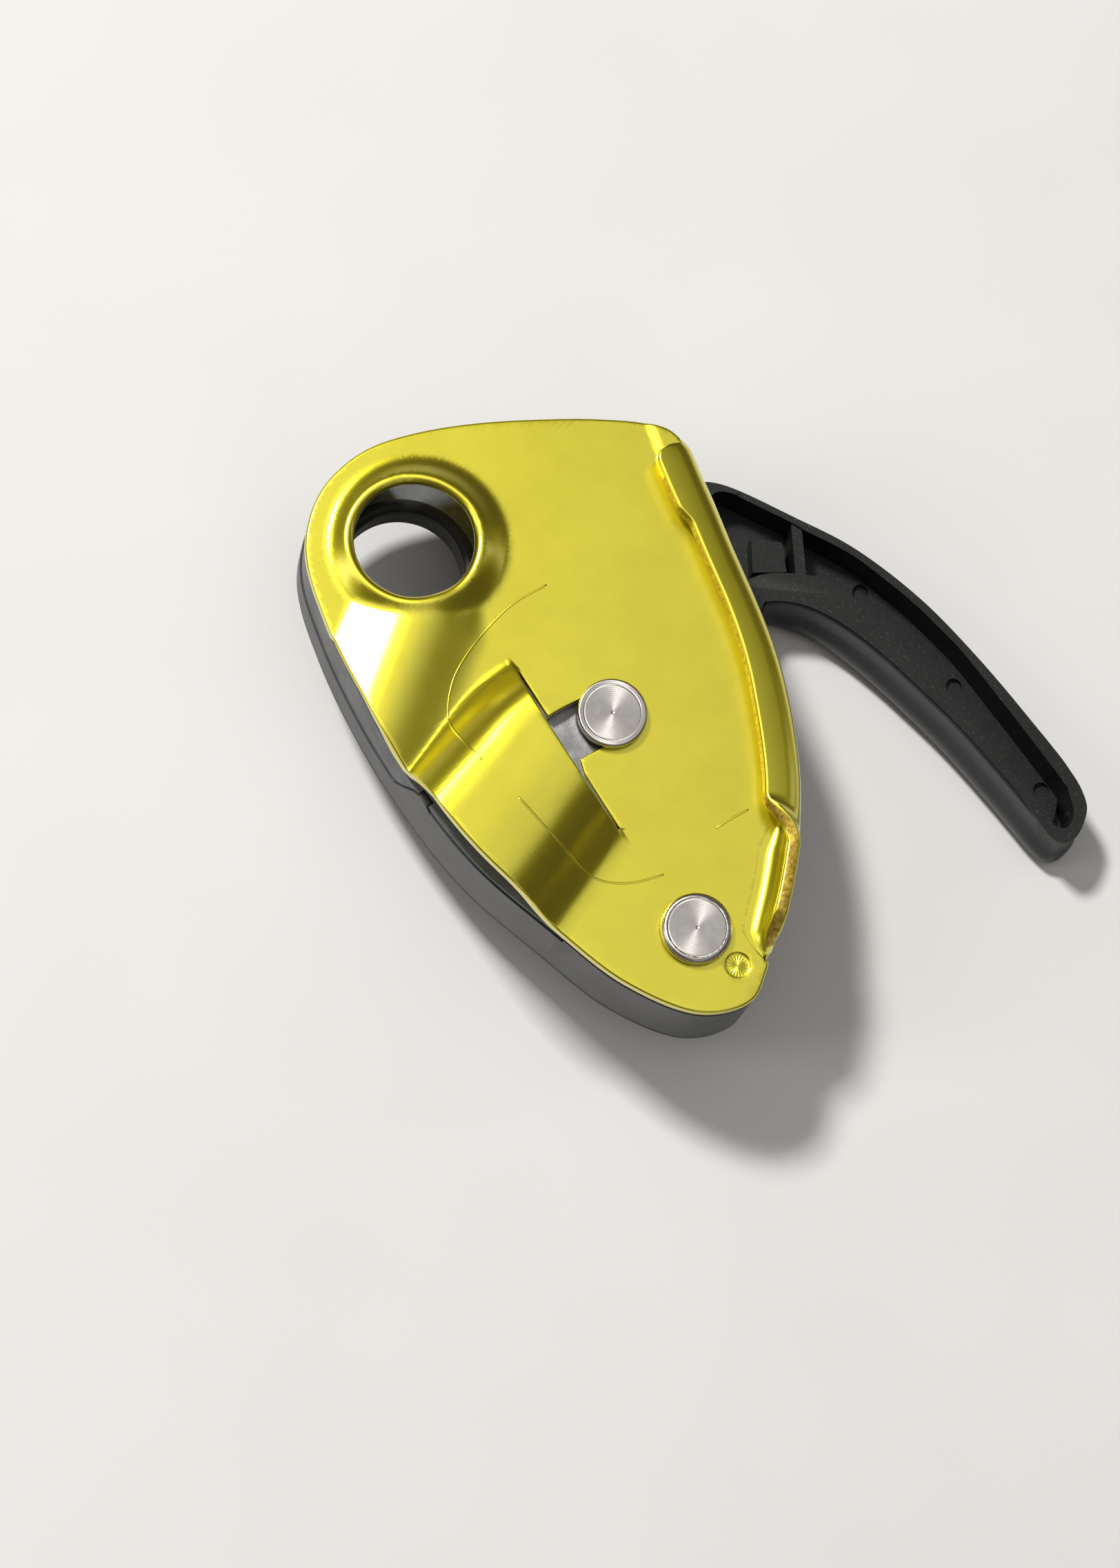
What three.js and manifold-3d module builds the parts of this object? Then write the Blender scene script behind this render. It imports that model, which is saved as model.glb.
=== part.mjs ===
// Assisted braking belay device, built from its separate pieces.
// Millimetres, +Z up. It lies on its back, with the swinging side plate on top.
// The origin is on the cam axle at the flat back face, +Y runs from the pivot rivet
// towards the attachment hole, and the release handle is on the +X side.

import * as THREE from 'three';
import { ParametricGeometry } from 'three/addons/geometries/ParametricGeometry.js';
import { mergeVertices } from 'three/addons/utils/BufferGeometryUtils.js';
import Module from 'manifold-3d';

const wasm = await Module();
wasm.setup();

// Body
const bodyWidth = 62;
const bodyLength = 100;
const attachmentFromSide = 20.4;
const attachmentFromTop = 15.4;
const pivotFromTip = 13;
const pivotAside = 0.7;
const attachmentHoleRadius = 9;

// Stack of layers, from the back face up
const handleDepth = 11.4;
const coverThickness = 2.2;
const fixedPlateThickness = 3;
const lineRoom = 12.5;
const sheet = 2;
const runningGap = 0.4;
const fitGap = 0.3;
const overrun = 1;

// Moving side plate
const edgeRounding = 0.5;
const marginLead = 1.2;
const wallBendRadius = 3;
const wallBendDegrees = 86;
const wallStandHeight = 1.7;
const wallRise = 11;
const lipBendRadius = 1.9;
const lipBendDegrees = 145;
const lipCurlRadius = 7;
const lipWidth = 5.7;
const lipNarrowWidth = 4.6;
const lipTabWidth = 6.8;
const lipTabLength = 12;
const lipTabRounding = 2.6;
const lipTabJog = 3.5;
const lipNarrowing = 24;
const bossBaseRadius = 12.9;
const bossRimRadius = 10.2;
const bossHeight = 2.3;
const bossOffset = 0.7;
const humpHeight = 6.2;
const humpWidth = 33.4;
const humpLength = 30;
const humpTaper = 0.87;
const humpSkewDegrees = 16;
const humpInnerX = -8.2;
const humpInnerLeanDegrees = 3.5;
const humpMiddleY = -5.6;
const slotHalfWidth = 3.9;
const slotSweepDegrees = 62;
const dimpleRadius = 1.9;
const dimpleDepth = 0.6;
const dimpleAside = 2.1;
const dimpleBelow = 7.6;
const pivotBushRadius = 4;

// Fixed side
const housingWall = 1;
const housingFoot = 2;
const guardWall = 1.5;
const guardShelf = 3.2;
const guardTopGap = 0.5;
const mouthDrop = 1.1;
const plateInset = 0.6;
const shoeFromPivot = 3.9;
const shoeLeftDegrees = 242;
const shoeRightDegrees = 284;
const shoeEndDegrees = 2;
const shoeHeelStartDegrees = 230;
const shoeHeelEndDegrees = 320;
const shoeDepth = 6.2;
const wearSheetStartDegrees = 212;
const wearSheetEndDegrees = 310;
const wearSheet = 0.6;
const liningWall = 1.2;
const liningCollar = 0.9;
const coverScrewHeadRadius = 2.6;
const coverScrewHeadHeight = 1.2;
const coverScrewRadius = 1.3;
const screwSlotWidth = 0.8;
const screwSlotDepth = 0.5;

// Pivot rivet and cam axle
const rivetHeadRadius = 5.2;
const rivetHeadHeight = 1.6;
const rivetRadius = 3;
const headChamfer = 0.5;
const axleHeadRadius = 5.1;
const axleHeadHeight = 1.4;
const axleNeckRadius = 3.4;
const axleRadius = 3.6;
const axleFootRadius = 5;
const axleFootHeight = 2;
const axleSquare = 5.4;
const bushWall = 1.4;
const bushFlangeRadius = 7.2;
const bushFlangeThickness = 0.7;

// Cam
const camFlangeRadius = 18.5;
const lineRadius = 5.6;
const lineTrackRadius = 22;
const camGap = 0.5;
const camNoseRadius = 22.6;
const camNoseDegrees = -48;
const camNoseHalfDegrees = 15;
const camTravelDegrees = 30;
const springPocketInner = 5.8;
const springPocketOuter = 9.4;
const springPocketDepth = 8.8;
const camSpringMeanRadius = 7.6;
const camSpringWire = 1.2;
const camSpringTurns = 4;
const camSpringPitch = 1.8;
const stopPinRadius = 1.6;
const stopPinTrack = 13.4;
const stopPinDegrees = 140;
const stopPinHeight = 6;
const noseGrooveCount = 4;
const noseGrooveWidth = 0.9;
const noseGrooveDepth = 0.8;

// Handle
const handleReach = 58.6;
const hubRadius = 18.2;
const hubRecessRadius = 12.6;
const hubRecessDepth = 3.4;
const hubChamfer = 0.8;
const gripClearance = 0.3;
const channelRim = 2.2;
const channelDepth = 7.2;
const channelRibWidth = 2;
const channelRibDrop = 0.5;
const pocketBlockDrop = 2.8;
const tipPocketDepth = 9.2;
const gripWall = 1.5;
const gripTopDrop = 0.5;
const gripBulge = 1.1;
const handleSpringMeanRadius = 15.4;
const handleSpringWire = 1.1;
const handleSpringTurns = 2.5;
const handleSpringPitch = 1.75;
const springGrooveWidth = 2;
const springGrooveDepth = 6;
const hubWeb = 2.2;

// Release drive
const driverCoreRadius = 7.6;
const driverRadius = 12.2;
const driverThickness = 2.5;
const pawlWidth = 2;
const pawlInnerRadius = 8.2;
const pawlOuterRadius = 11.6;
const pawlDegrees = 200;
const pawlRise = 2;
const pawlLength = 4.4;
const pawlTravel = 2.3;
const pawlSpringWire = 0.45;
const pawlSpringRadius = 1;
const pawlSpringPitch = 0.95;
const pawlSpringFloor = 1.3;
const handleTravelDegrees = 95;
const driverToothStart = 104;
const driverToothEnd = 116;
const driverLead = 11;

// Mode selector
const knobFromHub = 1.1;
const knobAside = 3.7;
const knobRadius = 6.2;
const knobHeight = 5.6;
const knobGripWidth = 2.4;
const knobGripHeight = 2;
const knobShaftRadius = 2;
const eccentricRadius = 3.4;
const eccentricOffset = 1;
const eccentricThickness = 0.7;

// Facets
const roundSteps = 40;
const smallSteps = 20;
const curveSteps = 2;
const sectorStepDegrees = 6;
const marginSteps = [7, 9, 9, 6];
const sheetRunSteps = 13;
const coilSides = 5;
const coilSteps = 8;
const wideCoilSteps = 16;
const crumbShare = 1e-5;

// Levels worked out from the stack
const coverBottom = handleDepth + runningGap;
const coverTop = coverBottom + coverThickness;
const fixedPlateBottom = coverTop + fitGap;
const fixedPlateTop = fixedPlateBottom + fixedPlateThickness;
const sheetBottom = fixedPlateTop + lineRoom;
const sheetTop = sheetBottom + sheet;
const camBottom = fixedPlateTop + bushFlangeThickness + runningGap;
const camTop = sheetBottom - camGap;
const camMiddle = (camBottom + camTop) / 2;
const driverBottom = handleDepth - hubRecessDepth + fitGap + fitGap;
const driverTop = driverBottom + driverThickness;
const guardTop = sheetBottom - guardTopGap;

// Outline of the body, anticlockwise from the tip, in shares of its width and length
const bodyShares = [
  [-0.129, -0.458], [-0.052, -0.432], [0.1, -0.358], [0.265, -0.244], [0.387, -0.096],
  [0.468, 0.096], [0.521, 0.266], [0.49, 0.33], [0.248, 0.441], [0.013, 0.512],
  [-0.123, 0.53], [-0.258, 0.512], [-0.361, 0.456], [-0.426, 0.346], [-0.474, 0.16],
  [-0.471, -0.05], [-0.41, -0.21], [-0.348, -0.335], [-0.242, -0.432],
];
const marginFirstShare = 0.055;
const lipRiseShare = 0.118;
const lipFirstShare = 0.146;
const lipTabShare = 0.306;
const marginLastShare = 0.321;
const foldReliefShare = 0.003;
const guardFirstShare = 0.5;
const guardSecondShare = 1.04;
const mouthEndShare = -0.23;
const mouthStartShare = 0.034;
const rampTopShare = 0.06;
const rampFootShare = 0.12;

// Places set by the outline: the hole keeps its distance from the top and side, the rivet from the tip
const topShare = bodyShares[10][1];
const sideShare = bodyShares[14][0];
const [tipXShare, tipYShare] = bodyShares[0];
const attachmentX = sideShare * bodyWidth + attachmentFromSide;
const attachmentY = topShare * bodyLength - attachmentFromTop;
const pivotX = tipXShare * bodyWidth - pivotAside;
const pivotY = tipYShare * bodyLength + pivotFromTip;
const pivotReach = Math.hypot(pivotX, pivotY);
const shoeRadius = pivotReach - shoeFromPivot;
const dimpleX = pivotX + dimpleAside;
const dimpleY = pivotY - dimpleBelow;
const knobReach = hubRadius + knobRadius + knobFromHub;
const knobTurn = Math.atan2(pivotY, pivotX) - Math.atan2(knobAside, pivotReach - hubRadius);
const knobX = knobReach * Math.cos(knobTurn);
const knobY = knobReach * Math.sin(knobTurn);

// Height of the pressed tunnel across its width, in shares of half its width and of its height
const humpShares = [
  [-1, 0], [-0.86, 0.05], [-0.7, 0.3], [-0.52, 0.68], [-0.3, 0.93],
  [0, 1], [0.32, 0.99], [0.55, 0.86], [0.72, 0.5], [0.86, 0.14], [1, 0],
];

// Edges of the handle seen from the front, in shares of its reach from the axle
const handleOuterShares = [
  [0.03, 0.28], [0.26, 0.3], [0.47, 0.37], [0.62, 0.425], [0.7, 0.39], [0.81, 0.205],
  [0.89, 0.05], [0.95, -0.15], [0.98, -0.36], [0.995, -0.58], [1, -0.75], [0.99, -0.81],
  [0.95, -0.863],
];
const handleInnerShares = [
  [0.905, -0.893], [0.868, -0.9], [0.836, -0.868], [0.825, -0.83], [0.818, -0.7], [0.8, -0.5], [0.775, -0.35], [0.745, -0.21],
  [0.71, -0.1], [0.66, -0.01], [0.59, 0.045], [0.5, 0.07], [0.4, 0.05], [0.28, -0.03],
  [0.14, -0.22],
];
const channelOuterFirst = 2;
const channelOuterLast = 11;
const channelInnerFirst = 2;
const channelInnerLast = 10;
const ribOuterSteps = 5;
const ribInnerSteps = 9;
const gripFirst = 11;
const gripLast = 10;

// The raised block in the handle's first pocket and the deeper pocket at its tip, in the same shares
const pocketBlockShares = [[0.67, 0.227], [0.749, 0.174], [0.7, 0.096], [0.618, 0.148]];
const tipPocketShares = [
  [0.99, -0.754], [0.925, -0.809], [0.884, -0.836], [0.895, -0.866], [0.93, -0.858], [0.976, -0.79],
];

// The grip's section: outward place in shares of its bulge, height in shares of its depth
const gripSectionShares = [[-1, 0], [-0.3, 0.1], [0, 0.3], [0, 0.55], [-0.35, 0.76], [-0.9, 0.92], [-1.2, 1]];

const coverScrewShares = [[0.2, 0.36], [-0.34, 0.13], [0.06, -0.31]];

const anodised = new THREE.MeshStandardMaterial({ color: 0xb9b233, roughness: 0.35, metalness: 0.9 });
const plateMetal = new THREE.MeshStandardMaterial({ color: 0x5c6063, roughness: 0.5, metalness: 0.8 });
const guardMetal = new THREE.MeshStandardMaterial({ color: 0x6f7476, roughness: 0.7, metalness: 0.3 });
const housingPlastic = new THREE.MeshStandardMaterial({ color: 0x4a4d50, roughness: 0.5, metalness: 0 });
const coverPlastic = new THREE.MeshStandardMaterial({ color: 0x1d1e1f, roughness: 0.6, metalness: 0 });
const handlePlastic = new THREE.MeshStandardMaterial({ color: 0x2b2d2c, roughness: 0.75, metalness: 0 });
const gripPlastic = new THREE.MeshStandardMaterial({ color: 0x4b4c50, roughness: 0.5, metalness: 0 });
const turnedSteel = new THREE.MeshStandardMaterial({ color: 0xb9b2a8, roughness: 0.3, metalness: 1 });
const castSteel = new THREE.MeshStandardMaterial({ color: 0x77787a, roughness: 0.55, metalness: 1 });
const springSteel = new THREE.MeshStandardMaterial({ color: 0x8f9294, roughness: 0.35, metalness: 1 });
const bronze = new THREE.MeshStandardMaterial({ color: 0xa87f45, roughness: 0.45, metalness: 1 });

const belayDevice = new THREE.Group();
belayDevice.name = 'assisted_braking_belay_device';

function radians(degrees) {
  return THREE.MathUtils.degToRad(degrees);
}

function around(radius, degrees, centreX = 0, centreY = 0) {
  const angle = radians(degrees);
  return new THREE.Vector2(centreX + radius * Math.cos(angle), centreY + radius * Math.sin(angle));
}

// A three.js geometry as a solid that can be joined and cut
function solid(geometry) {
  geometry.deleteAttribute('normal');
  geometry.deleteAttribute('uv');
  const merged = mergeVertices(geometry);
  const positions = Float32Array.from(merged.attributes.position.array);
  const triangles = Uint32Array.from(merged.index.array);
  if (enclosedVolume(positions, triangles) < 0) {
    for (let i = 0; i < triangles.length; i += 3) {
      const first = triangles[i];
      triangles[i] = triangles[i + 1];
      triangles[i + 1] = first;
    }
  }
  return new wasm.Manifold(
    new wasm.Mesh({ numProp: 3, vertProperties: positions, triVerts: triangles }));
}

function enclosedVolume(positions, triangles) {
  const a = new THREE.Vector3();
  const b = new THREE.Vector3();
  const c = new THREE.Vector3();
  let total = 0;
  for (let i = 0; i < triangles.length; i += 3) {
    a.fromArray(positions, 3 * triangles[i]);
    b.fromArray(positions, 3 * triangles[i + 1]);
    c.fromArray(positions, 3 * triangles[i + 2]);
    total += a.dot(b.cross(c)) / 6;
  }
  return total;
}

// The solid without crumbs that a cut along a shared edge can leave
function withoutCrumbs(piece) {
  const whole = piece.volume();
  const bodies = piece.decompose().filter((body) => Math.abs(body.volume()) > crumbShare * whole);
  return bodies.reduce((result, body) => result.add(body));
}

// Puts a finished solid into the scene graph as its own named piece
function addPiece(name, piece, material) {
  const mesh = withoutCrumbs(piece).getMesh();
  const geometry = new THREE.BufferGeometry();
  geometry.setAttribute('position', new THREE.BufferAttribute(mesh.vertProperties, 3));
  geometry.setIndex(new THREE.BufferAttribute(mesh.triVerts, 1));
  geometry.computeVertexNormals();
  const part = new THREE.Mesh(geometry, material);
  part.name = name;
  belayDevice.add(part);
}

function joined(first, ...others) {
  return others.reduce((result, other) => result.add(other), first);
}

function cut(first, ...others) {
  return others.reduce((result, other) => result.subtract(other), first);
}

// A prism over a closed list of points, with an optional rounded edge
function prism(points, low, high, rounding = 0) {
  const shape = points instanceof THREE.Shape ? points : new THREE.Shape(points);
  const geometry = new THREE.ExtrudeGeometry(shape, {
    depth: high - low - 2 * rounding,
    curveSegments: curveSteps,
    bevelEnabled: rounding > 0,
    bevelSize: rounding,
    bevelThickness: rounding,
    bevelOffset: -rounding,
    bevelSegments: 1,
  });
  geometry.translate(0, 0, low + rounding);
  return solid(geometry);
}

// A turned form about a vertical line, from [radius, height] pairs
function turned(profile, x = 0, y = 0, steps = roundSteps) {
  const points = profile.map(([radius, height]) => new THREE.Vector2(radius, height));
  const geometry = new THREE.LatheGeometry(points, steps);
  geometry.rotateX(Math.PI / 2);
  geometry.translate(x, y, 0);
  return solid(geometry);
}

function cylinder(radius, low, high, x = 0, y = 0, steps = roundSteps) {
  return turned([[0, low], [radius, low], [radius, high], [0, high]], x, y, steps);
}

function ring(inner, outer, low, high, x = 0, y = 0, steps = roundSteps) {
  return turned([[inner, low], [outer, low], [outer, high], [inner, high], [inner, low]], x, y, steps);
}

function block(width, depth, low, high, x = 0, y = 0) {
  const geometry = new THREE.BoxGeometry(width, depth, high - low);
  geometry.translate(x, y, (low + high) / 2);
  return solid(geometry);
}

// A piece of a ring between two angles
function sector(inner, outer, startDegrees, endDegrees, low, high, x = 0, y = 0) {
  const steps = Math.ceil(Math.abs(endDegrees - startDegrees) / sectorStepDegrees);
  const points = [];
  for (let i = 0; i <= steps; i += 1) {
    points.push(around(outer, startDegrees + ((endDegrees - startDegrees) * i) / steps, x, y));
  }
  for (let i = steps; i >= 0; i -= 1) {
    points.push(around(inner, startDegrees + ((endDegrees - startDegrees) * i) / steps, x, y));
  }
  return prism(points, low, high);
}

function placed(shares, width, length) {
  return shares.map(([x, y]) => new THREE.Vector3(x * width, y * length, 0));
}

// Points on a curve between two of its parameters
function along(curve, first, last, steps) {
  const points = [];
  for (let i = 0; i <= steps; i += 1) {
    const point = curve.getPoint((first + ((last - first) * i) / steps) % 1);
    points.push(new THREE.Vector2(point.x, point.y));
  }
  return points;
}

// The same run of points moved to its left by a distance
function shifted(points, distance, closed = false) {
  return points.map((point, i) => {
    const count = points.length;
    const before = closed ? points[(i + count - 1) % count] : points[Math.max(i - 1, 0)];
    const after = closed ? points[(i + 1) % count] : points[Math.min(i + 1, count - 1)];
    const direction = after.clone().sub(before).normalize();
    return new THREE.Vector2(point.x - direction.y * distance, point.y + direction.x * distance);
  });
}

function band(points, from, to, low, high) {
  const near = shifted(points, from);
  const far = shifted(points, to);
  return prism([...near, ...far.reverse()], low, high);
}

// A closed section carried along a level run, where sectionAt gives it as [inward, height] pairs at each place
function lofted(run, sectionAt) {
  const lefts = shifted(run, 1).map((point, i) => point.sub(run[i]));
  const sections = run.map((point, i) => sectionAt(i));
  const corners = sections[0].length;
  const rows = run.length + 1;
  const surface = (u, v, target) => {
    const row = Math.round(u * rows);
    const place = Math.min(Math.max(row - 1, 0), run.length - 1);
    const section = sections[place];
    const capped = row === 0 || row === rows;
    const corner = capped ? middleOf(section) : section[Math.round(v * corners) % corners];
    target.set(
      run[place].x + lefts[place].x * corner[0],
      run[place].y + lefts[place].y * corner[0],
      corner[1]);
  };
  return solid(new ParametricGeometry(surface, rows, corners));
}

// A point inside the first and last section, for the end faces to meet in
function middleOf(section) {
  const half = section.length / 2;
  const first = section[Math.floor(half / 2)];
  const second = section[section.length - 1 - Math.floor(half / 2)];
  return [(first[0] + second[0]) / 2, (first[1] + second[1]) / 2];
}

class CoilPath extends THREE.Curve {
  constructor(radius, pitch, turns, base) {
    super();
    this.radius = radius;
    this.pitch = pitch;
    this.turns = turns;
    this.base = base;
  }

  getPoint(t, target = new THREE.Vector3()) {
    const angle = 2 * Math.PI * this.turns * t;
    return target.set(
      this.radius * Math.cos(angle),
      this.radius * Math.sin(angle),
      this.base + this.pitch * this.turns * t);
  }
}

function coil(radius, wire, pitch, turns, base, steps = coilSteps) {
  const corners = [];
  for (let i = 0; i < coilSides; i += 1) {
    corners.push(around(wire / 2, (i * 360) / coilSides));
  }
  const section = new THREE.Shape(corners);
  const geometry = new THREE.ExtrudeGeometry(section, {
    steps: Math.ceil(turns * steps),
    extrudePath: new CoilPath(radius, pitch, turns, base + wire / 2),
  });
  return solid(geometry);
}

function arcPoints(centreX, centreY, radius, startDegrees, endDegrees, steps) {
  const points = [];
  for (let i = 0; i <= steps; i += 1) {
    const point = around(radius, startDegrees + ((endDegrees - startDegrees) * i) / steps, centreX, centreY);
    points.push([point.x, point.y]);
  }
  return points;
}

const bodyCurve = new THREE.CatmullRomCurve3(
  placed(bodyShares, bodyWidth, bodyLength), true, 'centripetal');
const bodySteps = bodyShares.length * curveSteps;
const bodyOutline = along(bodyCurve, 0, 1 - 1 / bodySteps, bodySteps - 1);
const guardSteps = Math.round(bodySteps * (guardSecondShare - guardFirstShare));
const guardLine = along(bodyCurve, guardFirstShare, guardSecondShare, guardSteps);
const marginShares = [marginFirstShare, lipRiseShare, lipFirstShare, lipTabShare, marginLastShare];
const marginLine = marginSteps.flatMap((steps, i) => (
  along(bodyCurve, marginShares[i], marginShares[i + 1], steps).slice(i === 0 ? 0 : 1)));

// Parts of the moving side plate

function eased(start, end, value) {
  return THREE.MathUtils.smoothstep(value, start, end);
}

const marginPlaces = marginLine.reduce((places, point, i) => {
  places.push(i === 0 ? 0 : places[i - 1] + point.distanceTo(marginLine[i - 1]));
  return places;
}, []);
const marginLength = marginPlaces[marginPlaces.length - 1];
const lipRisePlace = marginPlaces[marginSteps[0]];
const lipPlace = marginPlaces[marginSteps[0] + marginSteps[1]];

// Width of the folded lip: narrow past the tab at its upper end, then wider again towards the wall
function lipWidthAt(place) {
  const fromEnd = marginLength - place;
  const plain = THREE.MathUtils.lerp(
    lipNarrowWidth, lipWidth, eased(lipTabLength, lipTabLength + lipNarrowing, fromEnd));
  const tabbed = THREE.MathUtils.lerp(
    lipTabWidth, plain, eased(lipTabLength - lipTabJog, lipTabLength, fromEnd));
  return tabbed - lipTabRounding * (1 - eased(0, lipTabRounding, fromEnd));
}

// How the margin is bent at a place along it: radius and angle of the bend, and how much sheet it takes
function marginBend(place) {
  const folded = eased(lipRisePlace, lipPlace, place);
  const risen = eased(0, wallRise, place);
  const radius = THREE.MathUtils.lerp(wallBendRadius, lipBendRadius, folded);
  const wallAngle = radians(wallBendDegrees) * risen;
  const wallRun = marginLead + radius * wallAngle + wallStandHeight * risen + sheet * (1 - risen);
  const lipAngle = radians(lipBendDegrees);
  const lipRun = marginLead + radius * lipAngle + lipWidthAt(place) - sheet;
  return {
    radius,
    angle: THREE.MathUtils.lerp(wallAngle, lipAngle, folded),
    run: THREE.MathUtils.lerp(wallRun, lipRun, folded),
    curl: folded,
  };
}

// The sheet's section there as a closed ring of [outward, height] pairs: its inner face, then its outer face
function marginRing(place) {
  const bend = marginBend(place);
  const inside = [];
  const outside = [];
  let out = 0;
  let up = 0;
  let angle = 0;
  const step = bend.run / sheetRunSteps;
  for (let i = 0; i <= sheetRunSteps; i += 1) {
    const half = sheet / 2;
    inside.push([out - half * Math.sin(angle), up + half * Math.cos(angle)]);
    outside.push([out + half * Math.sin(angle), up - half * Math.cos(angle)]);
    const next = marginAngle(bend, (i + 1) * step);
    const middle = (angle + next) / 2;
    out += step * Math.cos(middle);
    up += step * Math.sin(middle);
    angle = next;
  }
  return [...inside, ...outside.reverse()];
}

function marginAngle(bend, run) {
  const bent = Math.max(0, run - marginLead);
  const turned = Math.min(bent / bend.radius, bend.angle);
  const past = Math.max(0, bent - bend.radius * bend.angle);
  return turned + (bend.curl * past) / lipCurlRadius;
}

function marginReach(place) {
  return Math.max(...marginRing(place).map(([out]) => out));
}

// The bent wall and the folded lip, one run of sheet along the right edge
function bentMargin() {
  return lofted(marginLine, (i) => {
    const reach = marginReach(marginPlaces[i]);
    return marginRing(marginPlaces[i]).map(([out, up]) => [reach - out, sheetBottom + sheet / 2 + up]);
  });
}

// The outline of the flat sheet: it stands back where the margin takes over, past a relief cut at the lip's end
function flatOutline() {
  const lefts = shifted(marginLine, 1).map((point, i) => point.sub(marginLine[i]));
  const bent = marginLine.map((point, i) => (
    point.clone().addScaledVector(lefts[i], marginReach(marginPlaces[i]) - edgeRounding)));
  const rest = along(
    bodyCurve, marginLastShare + foldReliefShare, 1 + marginFirstShare + foldReliefShare, bodySteps);
  return [...bent.slice(1), ...rest];
}

// A ruled tunnel form along the skewed axis, narrowing towards the cam axle
function tunnelForm(lowered) {
  const half = humpWidth / 2;
  const ridge = new THREE.SplineCurve(
    humpShares.map(([across, up]) => new THREE.Vector2(across * half, up * humpHeight)));
  const top = ridge.getPoints(humpShares.length * curveSteps);
  const skin = lowered > 0 ? shifted(top, -lowered) : top;
  const first = skin[0];
  const last = skin[skin.length - 1];
  const base = -sheet - (lowered > 0 ? overrun : 0);
  const points = [...skin, new THREE.Vector2(last.x, base), new THREE.Vector2(first.x, base)];
  const length = humpLength + humpWidth / 3;
  const geometry = new THREE.ExtrudeGeometry(new THREE.Shape(points), { depth: length, bevelEnabled: false });
  const position = geometry.attributes.position;
  for (let i = 0; i < position.count; i += 1) {
    const narrowing = 1 + ((humpTaper - 1) * position.getZ(i)) / humpLength;
    position.setX(i, position.getX(i) * narrowing);
  }
  geometry.rotateX(Math.PI / 2);
  geometry.rotateZ(Math.PI / 2 + radians(humpSkewDegrees));
  const outward = around(humpLength, 180 + humpSkewDegrees);
  geometry.translate(humpInnerX + outward.x, humpMiddleY + outward.y + humpOffset(), sheetTop);
  return solid(geometry);
}

// Everything on the tunnel's side of the line where the sheet is lanced
function leftOfLance(setBack) {
  const lean = bodyLength * Math.sin(radians(humpInnerLeanDegrees));
  const edge = humpInnerX - setBack;
  return prism([
    new THREE.Vector2(edge - bodyWidth, -bodyLength),
    new THREE.Vector2(edge - lean, -bodyLength),
    new THREE.Vector2(edge + lean, bodyLength),
    new THREE.Vector2(edge - bodyWidth, bodyLength),
  ], sheetBottom - 2 * overrun, sheetTop + 2 * humpHeight);
}

function humpOffset() {
  return humpLength * Math.sin(radians(humpSkewDegrees)) / 2;
}

function movingSidePlate() {
  const flat = prism(flatOutline(), sheetBottom, sheetTop, edgeRounding);

  const bossX = attachmentX + bossOffset;
  const bossY = attachmentY - bossOffset;
  const boss = turned([
    [0, sheetBottom],
    [bossBaseRadius, sheetBottom],
    [bossBaseRadius, sheetTop - edgeRounding],
    [bossBaseRadius - edgeRounding, sheetTop],
    [bossRimRadius, sheetTop + bossHeight - edgeRounding],
    [bossRimRadius - edgeRounding, sheetTop + bossHeight],
    [0, sheetTop + bossHeight],
  ], bossX, bossY);
  const bossHollow = turned([
    [0, sheetBottom - overrun],
    [bossBaseRadius - sheet / 2, sheetBottom - overrun],
    [bossBaseRadius - sheet / 2, sheetBottom],
    [bossRimRadius - sheet / 2, sheetBottom + bossHeight],
    [0, sheetBottom + bossHeight],
  ], bossX, bossY);

  const bodyColumn = prism(bodyOutline, sheetBottom, sheetTop + 2 * humpHeight);
  const humpSkin = tunnelForm(0).intersect(leftOfLance(fitGap)).intersect(bodyColumn);
  const humpRoom = tunnelForm(sheet).intersect(leftOfLance(0));

  const slotArc = radians(slotSweepDegrees);
  const axleDegrees = THREE.MathUtils.radToDeg(Math.atan2(-pivotY, -pivotX));
  const slot = joined(
    sector(pivotReach - slotHalfWidth, pivotReach + slotHalfWidth, axleDegrees,
      axleDegrees + THREE.MathUtils.radToDeg(slotArc), sheetBottom - overrun, sheetTop + overrun, pivotX, pivotY),
    cylinder(slotHalfWidth, sheetBottom - overrun, sheetTop + overrun),
  );

  const shell = joined(flat, boss, bentMargin());
  const holed = cut(shell, bossHollow, humpRoom);
  const pressed = joined(holed, humpSkin.subtract(humpRoom));
  return cut(pressed,
    cylinder(attachmentHoleRadius, sheetBottom - overrun, sheetTop + 2 * bossHeight, attachmentX, attachmentY),
    slot,
    cylinder(pivotBushRadius + fitGap, sheetBottom - overrun, sheetTop + overrun, pivotX, pivotY),
    cylinder(dimpleRadius, sheetTop - dimpleDepth, sheetTop + overrun, dimpleX, dimpleY, smallSteps));
}

addPiece('moving_side_plate', movingSidePlate(), anodised);
addPiece('pivot_bush',
  ring(rivetRadius + fitGap, pivotBushRadius, sheetBottom - fitGap, sheetTop + fitGap / 2, pivotX, pivotY, smallSteps),
  bronze);

// Fixed side

function coverScrewPlaces() {
  return coverScrewShares.map(([x, y]) => [x * bodyWidth, y * bodyLength]);
}

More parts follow.
